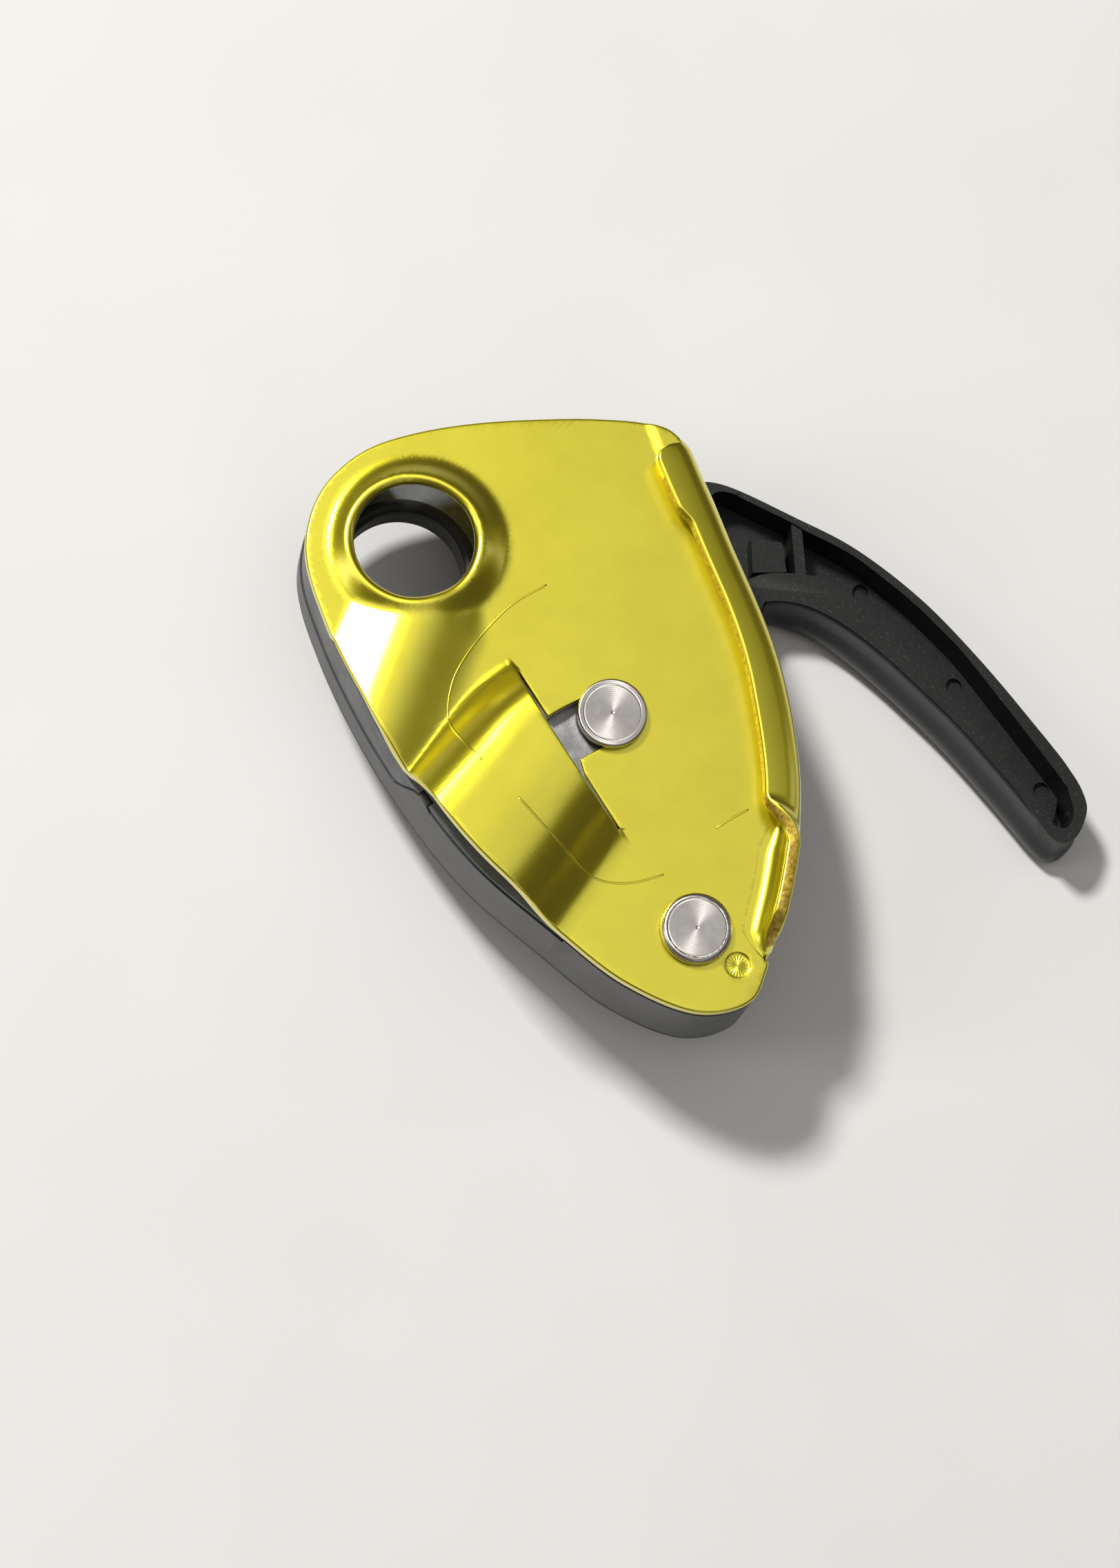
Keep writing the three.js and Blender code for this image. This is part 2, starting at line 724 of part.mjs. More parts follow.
function fixedSidePlate() {
  const right = shifted(bodyOutline, plateInset, true);
  const left = shifted(bodyOutline, housingFoot + fitGap, true);
  const firstGuard = Math.floor(guardFirstShare * bodySteps) - 1;
  const lastGuard = Math.ceil((guardSecondShare - 1) * bodySteps) + 1;
  const outline = bodyOutline.map((point, i) => (i >= firstGuard || i <= lastGuard ? left[i] : right[i]));
  const plate = prism(outline, fixedPlateBottom, fixedPlateTop, edgeRounding);
  const low = fixedPlateBottom - overrun;
  const high = fixedPlateTop + overrun;
  const holes = [
    cylinder(attachmentHoleRadius + liningWall + fitGap, low, high, attachmentX, attachmentY),
    cylinder(rivetRadius + fitGap, low, high, pivotX, pivotY, smallSteps),
    cylinder(axleRadius + fitGap + bushWall + fitGap, low, high),
    cylinder(stopPinRadius + fitGap, low, high, ...stopPinPlace(), smallSteps),
    cylinder(knobShaftRadius + fitGap, low, high, knobX, knobY, smallSteps),
    ...coverScrewPlaces().map(([x, y]) => cylinder(coverScrewRadius + fitGap, low, high, x, y, smallSteps)),
  ];
  return cut(plate, ...holes);
}

function stopPinPlace() {
  const place = around(stopPinTrack, stopPinDegrees);
  return [place.x, place.y];
}

// The upright wall on the closed side, stepped where the housing laps over it
function lapLine(raised) {
  const reach = bodyLength;
  const low = fixedPlateTop + guardShelf + raised;
  const mouthEnd = mouthEndShare * bodyLength + raised;
  const mouthStart = mouthStartShare * bodyLength;
  return [
    [-reach, guardTop + 2 * overrun],
    [-reach, guardTop + raised],
    [mouthEnd, guardTop + raised],
    [mouthEnd, guardTop - mouthDrop + raised],
    [mouthStart, guardTop - mouthDrop + raised],
    [mouthStart + mouthDrop, guardTop + raised],
    [rampTopShare * bodyLength, guardTop + raised],
    [rampFootShare * bodyLength, low],
    [reach, low],
    [reach, guardTop + 2 * overrun],
  ];
}

function sideCurtain(line) {
  const shape = new THREE.Shape(line.map(([y, z]) => new THREE.Vector2(y, z)));
  const geometry = new THREE.ExtrudeGeometry(shape, { depth: 2 * bodyWidth, bevelEnabled: false });
  geometry.rotateX(Math.PI / 2);
  geometry.rotateZ(Math.PI / 2);
  geometry.translate(-bodyWidth, 0, 0);
  return solid(geometry);
}

function lineGuard() {
  const low = fixedPlateTop + fitGap;
  const wall = band(guardLine, housingWall + fitGap, housingWall + fitGap + guardWall, low, guardTop);
  const face = band(guardLine, fitGap, housingWall + fitGap + guardWall / 2, low, guardTop);
  return joined(wall, face.intersect(sideCurtain(lapLine(fitGap))));
}

function housing() {
  const low = coverTop + fitGap / 2;
  const skirt = band(guardLine, 0, housingFoot, low, fixedPlateTop);
  const wall = band(guardLine, 0, housingWall, low, guardTop + fitGap / 2);
  return joined(skirt, wall.subtract(sideCurtain(lapLine(0))));
}

function backCover() {
  const plate = prism(shifted(bodyOutline, fitGap, true), coverBottom, coverTop, edgeRounding);
  const low = coverBottom - overrun;
  const high = coverTop + overrun;
  const headSeat = coverBottom + coverScrewHeadHeight + fitGap;
  const holes = [
    cylinder(attachmentHoleRadius + fitGap, low, high, attachmentX, attachmentY),
    cylinder(axleRadius + fitGap, low, high),
    cylinder(knobShaftRadius + fitGap, low, high, knobX, knobY, smallSteps),
    cylinder(eccentricRadius + eccentricOffset + fitGap, coverTop - eccentricThickness - fitGap, high,
      knobX, knobY, smallSteps),
    cylinder(rivetHeadRadius + fitGap, coverTop - rivetHeadHeight, high, pivotX, pivotY, smallSteps),
    ...coverScrewPlaces().map(([x, y]) => cylinder(coverScrewRadius + fitGap, low, high, x, y, smallSteps)),
    ...coverScrewPlaces().map(([x, y]) => cylinder(coverScrewHeadRadius + fitGap, low, headSeat, x, y, smallSteps)),
  ];
  return cut(plate, ...holes);
}

function frictionShoe() {
  const top = arcPoints(0, 0, shoeRadius, shoeLeftDegrees, shoeRightDegrees, 8);
  const left = around(shoeRadius + shoeDepth / 2, shoeLeftDegrees - shoeEndDegrees);
  const right = around(shoeRadius + shoeDepth / 3, shoeRightDegrees + shoeEndDegrees);
  const round = arcPoints(pivotX, pivotY, shoeDepth, shoeHeelStartDegrees, shoeHeelEndDegrees, 6);
  const points = [
    ...top,
    [right.x, right.y],
    ...round.reverse(),
    [left.x, left.y],
  ].map(([x, y]) => new THREE.Vector2(x, y));
  const body = prism(points, fixedPlateTop + fitGap, sheetBottom - runningGap - fitGap, edgeRounding);
  return cut(body,
    cylinder(rivetRadius + fitGap, fixedPlateTop, sheetBottom, pivotX, pivotY, smallSteps));
}

function wearSheetPiece() {
  const reach = shoeRadius - fitGap - fitGap;
  const outer = arcPoints(0, 0, reach, wearSheetStartDegrees, wearSheetEndDegrees, 16);
  const inner = arcPoints(0, 0, bushFlangeRadius + 2 * fitGap, wearSheetEndDegrees, wearSheetStartDegrees, 12);
  const points = [...outer, ...inner].map(([x, y]) => new THREE.Vector2(x, y));
  const low = fixedPlateTop + fitGap / 2;
  const columns = prism(shifted(bodyOutline, housingWall + guardWall + 3 * fitGap, true), low, low + wearSheet);
  return prism(points, low, low + wearSheet).intersect(columns);
}

function pivotRivet() {
  const headBottom = sheetTop + runningGap;
  const headTop = headBottom + rivetHeadHeight;
  const footTop = fixedPlateBottom - fitGap / 2;
  const footBottom = coverTop - rivetHeadHeight + fitGap;
  return turned([
    [0, footBottom],
    [rivetHeadRadius - headChamfer, footBottom],
    [rivetHeadRadius, footBottom + headChamfer],
    [rivetHeadRadius, footTop],
    [rivetRadius, footTop],
    [rivetRadius, headBottom],
    [rivetHeadRadius, headBottom],
    [rivetHeadRadius, headTop - headChamfer],
    [rivetHeadRadius - headChamfer, headTop],
    [0, headTop],
  ], pivotX, pivotY, smallSteps);
}

function axleBush() {
  const inner = axleRadius + fitGap;
  const outer = inner + bushWall;
  const shoulder = fixedPlateTop + fitGap / 2;
  return turned([
    [inner, fixedPlateBottom],
    [outer, fixedPlateBottom],
    [outer, shoulder],
    [bushFlangeRadius, shoulder],
    [bushFlangeRadius, shoulder + bushFlangeThickness - fitGap / 2],
    [inner, shoulder + bushFlangeThickness - fitGap / 2],
    [inner, fixedPlateBottom],
  ], 0, 0, smallSteps);
}

function attachmentLining() {
  const outer = attachmentHoleRadius + liningWall;
  return turned([
    [attachmentHoleRadius, fixedPlateBottom],
    [outer, fixedPlateBottom],
    [outer, fixedPlateTop + fitGap],
    [outer + liningCollar, fixedPlateTop + fitGap],
    [outer, fixedPlateTop + fitGap + liningCollar],
    [attachmentHoleRadius + liningWall / 2, fixedPlateTop + fitGap + liningCollar],
    [attachmentHoleRadius, fixedPlateTop + fitGap],
    [attachmentHoleRadius, fixedPlateBottom],
  ], attachmentX, attachmentY);
}

function coverScrew(x, y) {
  const headBottom = coverBottom + fitGap / 2;
  const headTop = headBottom + coverScrewHeadHeight;
  const body = joined(
    cylinder(coverScrewHeadRadius, headBottom, headTop, x, y, smallSteps),
    cylinder(coverScrewRadius, headBottom, fixedPlateTop - fitGap, x, y, smallSteps));
  const slot = block(2 * coverScrewHeadRadius + overrun, screwSlotWidth,
    headBottom - overrun, headBottom + screwSlotDepth, x, y);
  return cut(body, slot);
}

addPiece('fixed_side_plate', fixedSidePlate(), plateMetal);
addPiece('line_guard', lineGuard(), guardMetal);
addPiece('housing', housing(), housingPlastic);
addPiece('back_cover', backCover(), coverPlastic);
addPiece('friction_shoe', frictionShoe(), turnedSteel);
addPiece('wear_sheet', wearSheetPiece(), turnedSteel);
addPiece('pivot_rivet', pivotRivet(), turnedSteel);
addPiece('axle_bush', axleBush(), bronze);
addPiece('attachment_lining', attachmentLining(), coverPlastic);
addPiece('cam_stop_pin',
  cylinder(stopPinRadius, fixedPlateBottom, fixedPlateTop + stopPinHeight, ...stopPinPlace(), smallSteps),
  turnedSteel);
coverScrewPlaces().forEach(([x, y], i) => {
  addPiece(`cover_screw_${i + 1}`, coverScrew(x, y), turnedSteel);
});

// Cam, its axle and its spring

function camAxle() {
  const neckStart = sheetBottom - runningGap;
  const headBottom = sheetTop + runningGap;
  const headTop = headBottom + axleHeadHeight;
  const squareHigh = driverTop;
  const lower = turned([
    [0, 0],
    [axleFootRadius, 0],
    [axleFootRadius, axleFootHeight],
    [axleRadius, axleFootHeight],
    [axleRadius, driverBottom - fitGap],
    [0, driverBottom - fitGap],
  ]);
  const upper = turned([
    [0, squareHigh],
    [axleRadius, squareHigh],
    [axleRadius, neckStart],
    [axleNeckRadius, neckStart],
    [axleNeckRadius, headBottom],
    [axleHeadRadius, headBottom],
    [axleHeadRadius, headTop - headChamfer],
    [axleHeadRadius - headChamfer, headTop],
    [0, headTop],
  ]);
  const square = block(axleSquare, axleSquare, driverBottom - 2 * fitGap, squareHigh + fitGap);
  return joined(lower, square.intersect(cylinder(axleRadius, 0, handleDepth + fitGap)), upper);
}

function nosePoints() {
  const root = camFlangeRadius - lineRadius;
  return [
    around(root, camNoseDegrees - 2 * camNoseHalfDegrees),
    around(camNoseRadius - 1.5 * noseGrooveDepth, camNoseDegrees - camNoseHalfDegrees),
    around(camNoseRadius, camNoseDegrees - camNoseHalfDegrees / 2),
    around(camNoseRadius, camNoseDegrees + camNoseHalfDegrees / 3),
    around(camNoseRadius - 2 * noseGrooveDepth, camNoseDegrees + camNoseHalfDegrees),
    around(root, camNoseDegrees + 3 * camNoseHalfDegrees),
    around(root / 2, camNoseDegrees),
  ];
}

function cam() {
  const track = turned([
    [lineTrackRadius, camMiddle - lineRadius],
    ...arcPoints(lineTrackRadius, camMiddle, lineRadius, 270, 90, 8),
    [2 * camFlangeRadius, camMiddle + lineRadius],
    [2 * camFlangeRadius, camMiddle - lineRadius],
    [lineTrackRadius, camMiddle - lineRadius],
  ]);
  const wheel = cylinder(camFlangeRadius, camBottom, camTop);
  const nose = prism(nosePoints(), camBottom + fitGap, camTop - fitGap, edgeRounding);
  const collar = turned([
    [0, camTop - fitGap],
    [axleHeadRadius + overrun, camTop - fitGap],
    [axleHeadRadius, camTop + fitGap],
    [0, camTop + fitGap],
  ]);
  const pinHalfDegrees = THREE.MathUtils.radToDeg((stopPinRadius + fitGap) / stopPinTrack);
  const halfSlot = stopPinRadius + fitGap;
  const stopSlot = sector(stopPinTrack - halfSlot, stopPinTrack + halfSlot,
    stopPinDegrees - pinHalfDegrees, stopPinDegrees + camTravelDegrees + pinHalfDegrees,
    camBottom - overrun, fixedPlateTop + stopPinHeight + fitGap);
  const spring = ring(springPocketInner, springPocketOuter, camBottom - overrun, camBottom + springPocketDepth);
  const grooves = [];
  for (let i = 0; i < noseGrooveCount; i += 1) {
    const degrees = camNoseDegrees - camNoseHalfDegrees / 2 + (i * camNoseHalfDegrees) / noseGrooveCount;
    const place = around(camNoseRadius, degrees);
    grooves.push(cylinder(noseGrooveWidth / 2, camBottom, camTop, place.x, place.y, 8));
  }
  const body = joined(wheel.subtract(track), nose, collar);
  return cut(body, cylinder(axleRadius + fitGap, camBottom - overrun, camTop + overrun), stopSlot, spring, ...grooves);
}

function driverNotch(startDegrees, endDegrees) {
  return sector(driverCoreRadius, driverRadius + overrun, startDegrees, endDegrees,
    driverBottom - overrun, driverTop + overrun);
}

function camDriver() {
  const lastNotch = pawlDegrees + handleTravelDegrees + camTravelDegrees + driverLead;
  const disc = cylinder(driverRadius, driverBottom, driverTop);
  return cut(disc,
    driverNotch(pawlDegrees - driverLead, pawlDegrees + driverToothStart),
    driverNotch(pawlDegrees + driverToothEnd, lastNotch),
    block(axleSquare + 2 * fitGap, axleSquare + 2 * fitGap, driverBottom - overrun, driverTop + overrun));
}

addPiece('cam', cam(), castSteel);
addPiece('cam_axle', camAxle(), turnedSteel);
addPiece('cam_driver', camDriver(), castSteel);
addPiece('cam_spring',
  coil(camSpringMeanRadius, camSpringWire, camSpringPitch, camSpringTurns, camBottom + fitGap),
  springSteel);

// Handle with its grip, spring and pawl

function sidePoints(shares) {
  const curve = new THREE.SplineCurve(placed(shares, handleReach, handleReach));
  return curve.getPoints((shares.length - 1) * curveSteps);
}

const handleOuter = sidePoints(handleOuterShares);
const handleInner = sidePoints(handleInnerShares);

function between(points, first, last) {
  return points.slice(first * curveSteps, last * curveSteps + 1);
}

// The grip wraps round the lever's tip and runs on along its inner edge
const gripLine = [
  ...between(handleOuter, gripFirst, handleOuterShares.length - 1),
  ...between(handleInner, 0, gripLast),
];

// A run of points with both of its ends carried on by a distance
function lengthened(points, distance) {
  const last = points.length - 1;
  const start = points[0].clone().sub(points[1]).setLength(distance).add(points[0]);
  const end = points[last].clone().sub(points[last - 1]).setLength(distance).add(points[last]);
  return [start, ...points, end];
}

function gripStrip(clearance) {
  const outside = lengthened(gripLine, clearance);
  const inside = shifted(outside, -(gripWall + clearance));
  return [...shifted(outside, overrun), ...inside.reverse()];
}

function channelFloor() {
  const outer = shifted(between(handleOuter, channelOuterFirst, channelOuterLast), -channelRim);
  const inner = shifted(between(handleInner, channelInnerFirst, channelInnerLast), -(channelRim + gripWall));
  return [...outer, ...inner];
}

function channelRib(first, second) {
  const direction = second.clone().sub(first).normalize();
  const across = new THREE.Vector2(-direction.y, direction.x).multiplyScalar(channelRibWidth / 2);
  return prism([
    first.clone().sub(across),
    second.clone().sub(across),
    second.clone().add(across),
    first.clone().add(across),
  ], handleDepth - channelDepth - overrun, handleDepth - channelRibDrop);
}

function handlePoints(shares) {
  return placed(shares, handleReach, handleReach).map((point) => new THREE.Vector2(point.x, point.y));
}

function handleLever() {
  const arm = prism([...handleOuter, ...handleInner], fitGap, handleDepth, edgeRounding);
  const hub = turned([
    [0, 0],
    [hubRadius - hubChamfer, 0],
    [hubRadius, hubChamfer],
    [hubRadius, handleDepth - fitGap],
    [0, handleDepth - fitGap],
  ]);
  const pocket = prism(channelFloor(), handleDepth - channelDepth, handleDepth + overrun);
  const tipPocket = prism(handlePoints(tipPocketShares), handleDepth - tipPocketDepth, handleDepth - overrun);
  const rib = channelRib(handleOuter[ribOuterSteps * curveSteps], handleInner[ribInnerSteps * curveSteps]);
  const pocketBlock = prism(
    handlePoints(pocketBlockShares), handleDepth - channelDepth - overrun, handleDepth - pocketBlockDrop, edgeRounding);
  const pawlSlotLow = driverBottom - pawlLength + pawlRise - pawlTravel - fitGap;
  const pawlMiddle = around((pawlInnerRadius + pawlOuterRadius) / 2, pawlDegrees);
  const pawlSlot = pawlBlock(pawlWidth + 2 * fitGap, pawlOuterRadius - pawlInnerRadius + 2 * fitGap,
    pawlSlotLow, handleDepth);
  const body = joined(arm, hub, rib.intersect(arm));
  const channel = cut(pocket, rib, pocketBlock, cylinder(hubRadius + hubWeb, 0, 2 * handleDepth));
  return cut(body,
    channel,
    tipPocket.intersect(prism(channelFloor(), 0, handleDepth)),
    prism(gripStrip(gripClearance), -overrun, handleDepth + overrun),
    cylinder(hubRecessRadius, handleDepth - hubRecessDepth, handleDepth + overrun),
    cylinder(axleRadius + fitGap, -overrun, handleDepth),
    cylinder(axleFootRadius + fitGap, -overrun, axleFootHeight + fitGap),
    ring(handleSpringMeanRadius - springGrooveWidth / 2, handleSpringMeanRadius + springGrooveWidth / 2,
      handleDepth - springGrooveDepth, handleDepth + overrun),
    pawlSlot,
    cylinder(pawlSpringRadius + pawlSpringWire + fitGap, pawlSpringFloor - fitGap, handleDepth,
      pawlMiddle.x, pawlMiddle.y, smallSteps));
}

// The bulged strip that the fingers pull on
function handleGrip() {
  const low = fitGap;
  const depth = handleDepth - gripTopDrop - low;
  const face = gripSectionShares.map(([out, up]) => [out * gripBulge, low + up * depth]);
  const back = gripSectionShares.map(([, up]) => [-gripWall, low + up * depth]);
  const section = [...face, ...back.reverse()];
  return lofted(gripLine, () => section);
}

function pawlBlock(width, length, low, high) {
  const middle = around((pawlInnerRadius + pawlOuterRadius) / 2, pawlDegrees);
  const geometry = new THREE.BoxGeometry(length, width, high - low);
  geometry.rotateZ(radians(pawlDegrees));
  geometry.translate(middle.x, middle.y, (low + high) / 2);
  return solid(geometry);
}

function pawlSpring() {
  const middle = around((pawlInnerRadius + pawlOuterRadius) / 2, pawlDegrees);
  const top = driverBottom + pawlRise - pawlLength - fitGap / 2;
  const turns = (top - pawlSpringFloor - pawlSpringWire) / pawlSpringPitch;
  return coil(pawlSpringRadius, pawlSpringWire, pawlSpringPitch, turns, pawlSpringFloor)
    .translate([middle.x, middle.y, 0]);
}

addPiece('handle_lever', handleLever(), handlePlastic);
addPiece('handle_grip', handleGrip(), gripPlastic);
addPiece('handle_spring',
  coil(handleSpringMeanRadius, handleSpringWire, handleSpringPitch, handleSpringTurns,
    handleDepth - springGrooveDepth + fitGap, wideCoilSteps),
  springSteel);
addPiece('drive_pawl',
  pawlBlock(pawlWidth, pawlOuterRadius - pawlInnerRadius, driverBottom + pawlRise - pawlLength,
    driverBottom + pawlRise),
  castSteel);
addPiece('pawl_spring', pawlSpring(), springSteel);

// Mode selector on the back

function selectorKnob() {
  const top = coverBottom - runningGap;
  const low = top - knobHeight + knobGripHeight;
  const head = turned([
    [0, low],
    [knobRadius - headChamfer, low],
    [knobRadius, low + headChamfer],
    [knobRadius, top],
    [knobShaftRadius, top],
    [knobShaftRadius, fixedPlateTop - fitGap],
    [0, fixedPlateTop - fitGap],
  ], knobX, knobY, smallSteps);
  const grip = block(2 * knobRadius - overrun, knobGripWidth, low - knobGripHeight, low + headChamfer, knobX, knobY);
  return joined(head, grip);
}

function selectorEccentric() {
  const low = coverTop - eccentricThickness;
  const disc = cylinder(eccentricRadius, low, coverTop, knobX + eccentricOffset, knobY, smallSteps);
  return cut(disc, cylinder(knobShaftRadius + fitGap, low - overrun, coverTop + overrun, knobX, knobY, smallSteps));
}

addPiece('selector_knob', selectorKnob(), coverPlastic);
addPiece('selector_eccentric', selectorEccentric(), castSteel);

export default belayDevice;
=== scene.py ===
# Assisted braking belay device: the dressed model on a plain pale floor.
# Shapes are worked out in millimetres in the CAD frame and put into metres when a piece is finished.

import math

import bmesh
import bpy
from mathutils import Matrix, Vector


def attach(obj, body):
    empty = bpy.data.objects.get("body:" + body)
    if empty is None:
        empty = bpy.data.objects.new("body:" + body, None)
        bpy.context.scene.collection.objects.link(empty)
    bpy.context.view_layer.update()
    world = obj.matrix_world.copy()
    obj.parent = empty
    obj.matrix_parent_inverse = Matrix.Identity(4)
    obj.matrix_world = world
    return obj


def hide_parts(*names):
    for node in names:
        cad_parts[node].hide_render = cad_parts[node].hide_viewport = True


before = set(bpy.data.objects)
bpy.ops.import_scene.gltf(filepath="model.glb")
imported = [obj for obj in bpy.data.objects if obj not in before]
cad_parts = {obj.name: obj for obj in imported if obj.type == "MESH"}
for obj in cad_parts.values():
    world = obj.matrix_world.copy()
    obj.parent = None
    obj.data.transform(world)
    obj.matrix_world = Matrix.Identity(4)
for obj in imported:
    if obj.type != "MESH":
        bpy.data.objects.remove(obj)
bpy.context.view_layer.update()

MM = 0.001

# Sizes that the pieces share with the CAD model
BODY_WIDTH = 62
BODY_LENGTH = 100
ATTACHMENT = (-8.988, 37.6)
PIVOT = (-8.698, -32.8)
DIMPLE = (-6.598, -40.4)
KNOB = (-12.006, -22.497)
SCREWS = ((12.4, 36), (-21.08, 13), (3.72, -31))
HOLE_RADIUS = 9
DIMPLE_RADIUS = 1.78
SLOT_HALF = 3.9
AXLE_BORE = 3.9
PIVOT_BORE = 3.3
KNOB_BORE = 2.3
SCREW_BORE = 1.6
PIN_BORE = 1.9
STOP_PIN_REACH = 13.4
STOP_PIN_ANGLE = 140
CAM_TRAVEL = 30
PAWL_REACH = 9.9
PAWL_ANGLE = 200
HANDLE_TOP = 11.4
COVER_LOW = 11.8
COVER_TOP = 14.0
PLATE_LOW = 14.3
PLATE_TOP = 17.3
SHEET_LOW = 29.8
SHEET_TOP = 31.8
SHEET = 2
GUARD_TOP = 29.3
CAM_LOW = 18.4
CAM_TOP = 29.3
FIT = 0.3
STEPS = 96

BODY_SHARES = [
    (-0.129, -0.458), (-0.052, -0.432), (0.1, -0.358), (0.265, -0.244), (0.387, -0.096),
    (0.468, 0.096), (0.521, 0.266), (0.49, 0.33), (0.248, 0.441), (0.013, 0.512),
    (-0.123, 0.53), (-0.258, 0.512), (-0.361, 0.456), (-0.426, 0.346), (-0.474, 0.16),
    (-0.471, -0.05), (-0.41, -0.21), (-0.348, -0.335), (-0.242, -0.432),
]
HUMP_SHARES = [
    (-1, 0), (-0.86, 0.05), (-0.7, 0.3), (-0.52, 0.68), (-0.3, 0.93), (0, 1), (0.3, 1), (0.45, 0.985),
    (0.57, 0.93), (0.67, 0.78), (0.78, 0.5), (0.88, 0.18), (0.96, 0.03), (1, 0),
]
HANDLE_REACH = 58.6
HANDLE_OUTER_SHARES = [
    (0.03, 0.28), (0.26, 0.3), (0.47, 0.37), (0.62, 0.425), (0.7, 0.39), (0.81, 0.205),
    (0.89, 0.05), (0.95, -0.15), (0.98, -0.36), (0.995, -0.58), (1, -0.75), (0.99, -0.81),
    (0.95, -0.863),
]
HANDLE_INNER_SHARES = [
    (0.905, -0.893), (0.868, -0.9), (0.836, -0.868), (0.825, -0.83), (0.818, -0.7), (0.8, -0.5),
    (0.775, -0.35), (0.745, -0.21), (0.71, -0.1), (0.66, -0.01), (0.59, 0.045), (0.5, 0.07), (0.4, 0.05),
    (0.28, -0.03), (0.14, -0.22),
]


# Numbers and curves

def smooth(start, end, value):
    share = min(max((value - start) / (end - start), 0), 1)
    return share * share * (3 - 2 * share)


def mix(first, second, share):
    return first + (second - first) * share


def around(radius, degrees, centre=(0, 0)):
    angle = math.radians(degrees)
    return Vector((centre[0] + radius * math.cos(angle), centre[1] + radius * math.sin(angle)))


def placed(shares, width, length):
    return [Vector((x * width, y * length)) for x, y in shares]


def hermite(low, high, low_slope, high_slope, t):
    cubic = 2 * low - 2 * high + low_slope + high_slope
    square = -3 * low + 3 * high - 2 * low_slope - high_slope
    return cubic * t ** 3 + square * t ** 2 + low_slope * t + low


def closed_curve(points, steps):
    """The CAD outline's centripetal curve, with that many steps a point."""
    count = len(points)
    result = []
    for i in range(count):
        p0, p1, p2, p3 = (points[(i + k - 1) % count] for k in range(4))
        d0, d1, d2 = (math.sqrt((b - a).length) for a, b in ((p0, p1), (p1, p2), (p2, p3)))
        low_slope = ((p1 - p0) / d0 - (p2 - p0) / (d0 + d1) + (p2 - p1) / d1) * d1
        high_slope = ((p2 - p1) / d1 - (p3 - p1) / (d1 + d2) + (p3 - p2) / d2) * d1
        result += [hermite(p1, p2, low_slope, high_slope, k / steps) for k in range(steps)]
    return result


def open_curve(points, steps):
    """A smooth run through the points, with that many steps between two of them."""
    points = [Vector(point) for point in points]
    count = len(points)
    result = []
    for i in range(count - 1):
        p0, p1, p2, p3 = (points[min(max(i + k - 1, 0), count - 1)] for k in range(4))
        result += [hermite(p1, p2, (p2 - p0) / 2, (p3 - p1) / 2, k / steps) for k in range(steps)]
    return result + [points[-1]]


def sideways(points, closed=False):
    """The direction to the left of a run at each of its points."""
    count = len(points)
    result = []
    for i in range(count):
        before = points[(i - 1) % count] if closed else points[max(i - 1, 0)]
        after = points[(i + 1) % count] if closed else points[min(i + 1, count - 1)]
        direction = (after - before).normalized()
        result.append(Vector((-direction.y, direction.x)))
    return result


def shifted(points, distance, closed=False):
    lefts = sideways(points, closed)
    return [p + left * distance for p, left in zip(points, lefts)]


def even(points, spacing):
    """The same run with points at even distances."""
    lengths = [0]
    for a, b in zip(points, points[1:]):
        lengths.append(lengths[-1] + (b - a).length)
    count = max(2, round(lengths[-1] / spacing))
    result = []
    place = 0
    for k in range(count + 1):
        target = lengths[-1] * k / count
        while place < len(points) - 2 and lengths[place + 1] < target:
            place += 1
        span = lengths[place + 1] - lengths[place]
        share = (target - lengths[place]) / span if span else 0
        result.append(points[place].lerp(points[place + 1], share))
    return result


def arc(centre, radius, start, end, steps):
    return [around(radius, mix(start, end, k / steps), centre) for k in range(steps + 1)]


STOP_PIN = tuple(around(STOP_PIN_REACH, STOP_PIN_ANGLE))
PAWL = tuple(around(PAWL_REACH, PAWL_ANGLE))
LIP_SWELL = 0.45
CORNER_SWELL = 0.9
OUTLINE = closed_curve(placed(BODY_SHARES, BODY_WIDTH, BODY_LENGTH), 16)
OUTLINE_STEPS = len(OUTLINE)


def sheet_outline():
    """The outline, a little wider along the folded lip and at the corner above it."""
    lefts = sideways(OUTLINE, True)
    result = []
    for k, (point, left) in enumerate(zip(OUTLINE, lefts)):
        share = k / OUTLINE_STEPS
        more = LIP_SWELL * smooth(0.17, 0.25, share) + CORNER_SWELL * smooth(0.295, 0.325, share)
        result.append(point - left * (more * (1 - smooth(0.335, 0.39, share))))
    return result


SHEET_OUTLINE = sheet_outline()


# Making solids with bmesh operators

def from_bmesh(name, bm):
    mesh = bpy.data.meshes.new(name)
    bm.to_mesh(mesh)
    bm.free()
    obj = bpy.data.objects.new(name, mesh)
    bpy.context.scene.collection.objects.link(obj)
    return obj


def everything(bm):
    return bm.verts[:] + bm.edges[:] + bm.faces[:]


def only(kind, geometry):
    return [part for part in geometry if isinstance(part, kind)]


def swept(corners, way):
    """A flat face pulled along a vector."""
    bm = bmesh.new()
    face = bm.faces.new([bm.verts.new(corner) for corner in corners])
    pulled = bmesh.ops.extrude_face_region(bm, geom=[face])["geom"]
    bmesh.ops.translate(bm, vec=way, verts=only(bmesh.types.BMVert, pulled))
    bmesh.ops.recalc_face_normals(bm, faces=bm.faces)
    return from_bmesh("swept", bm)


def prism(points, low, high):
    return swept([(p[0], p[1], low) for p in points], (0, 0, high - low))


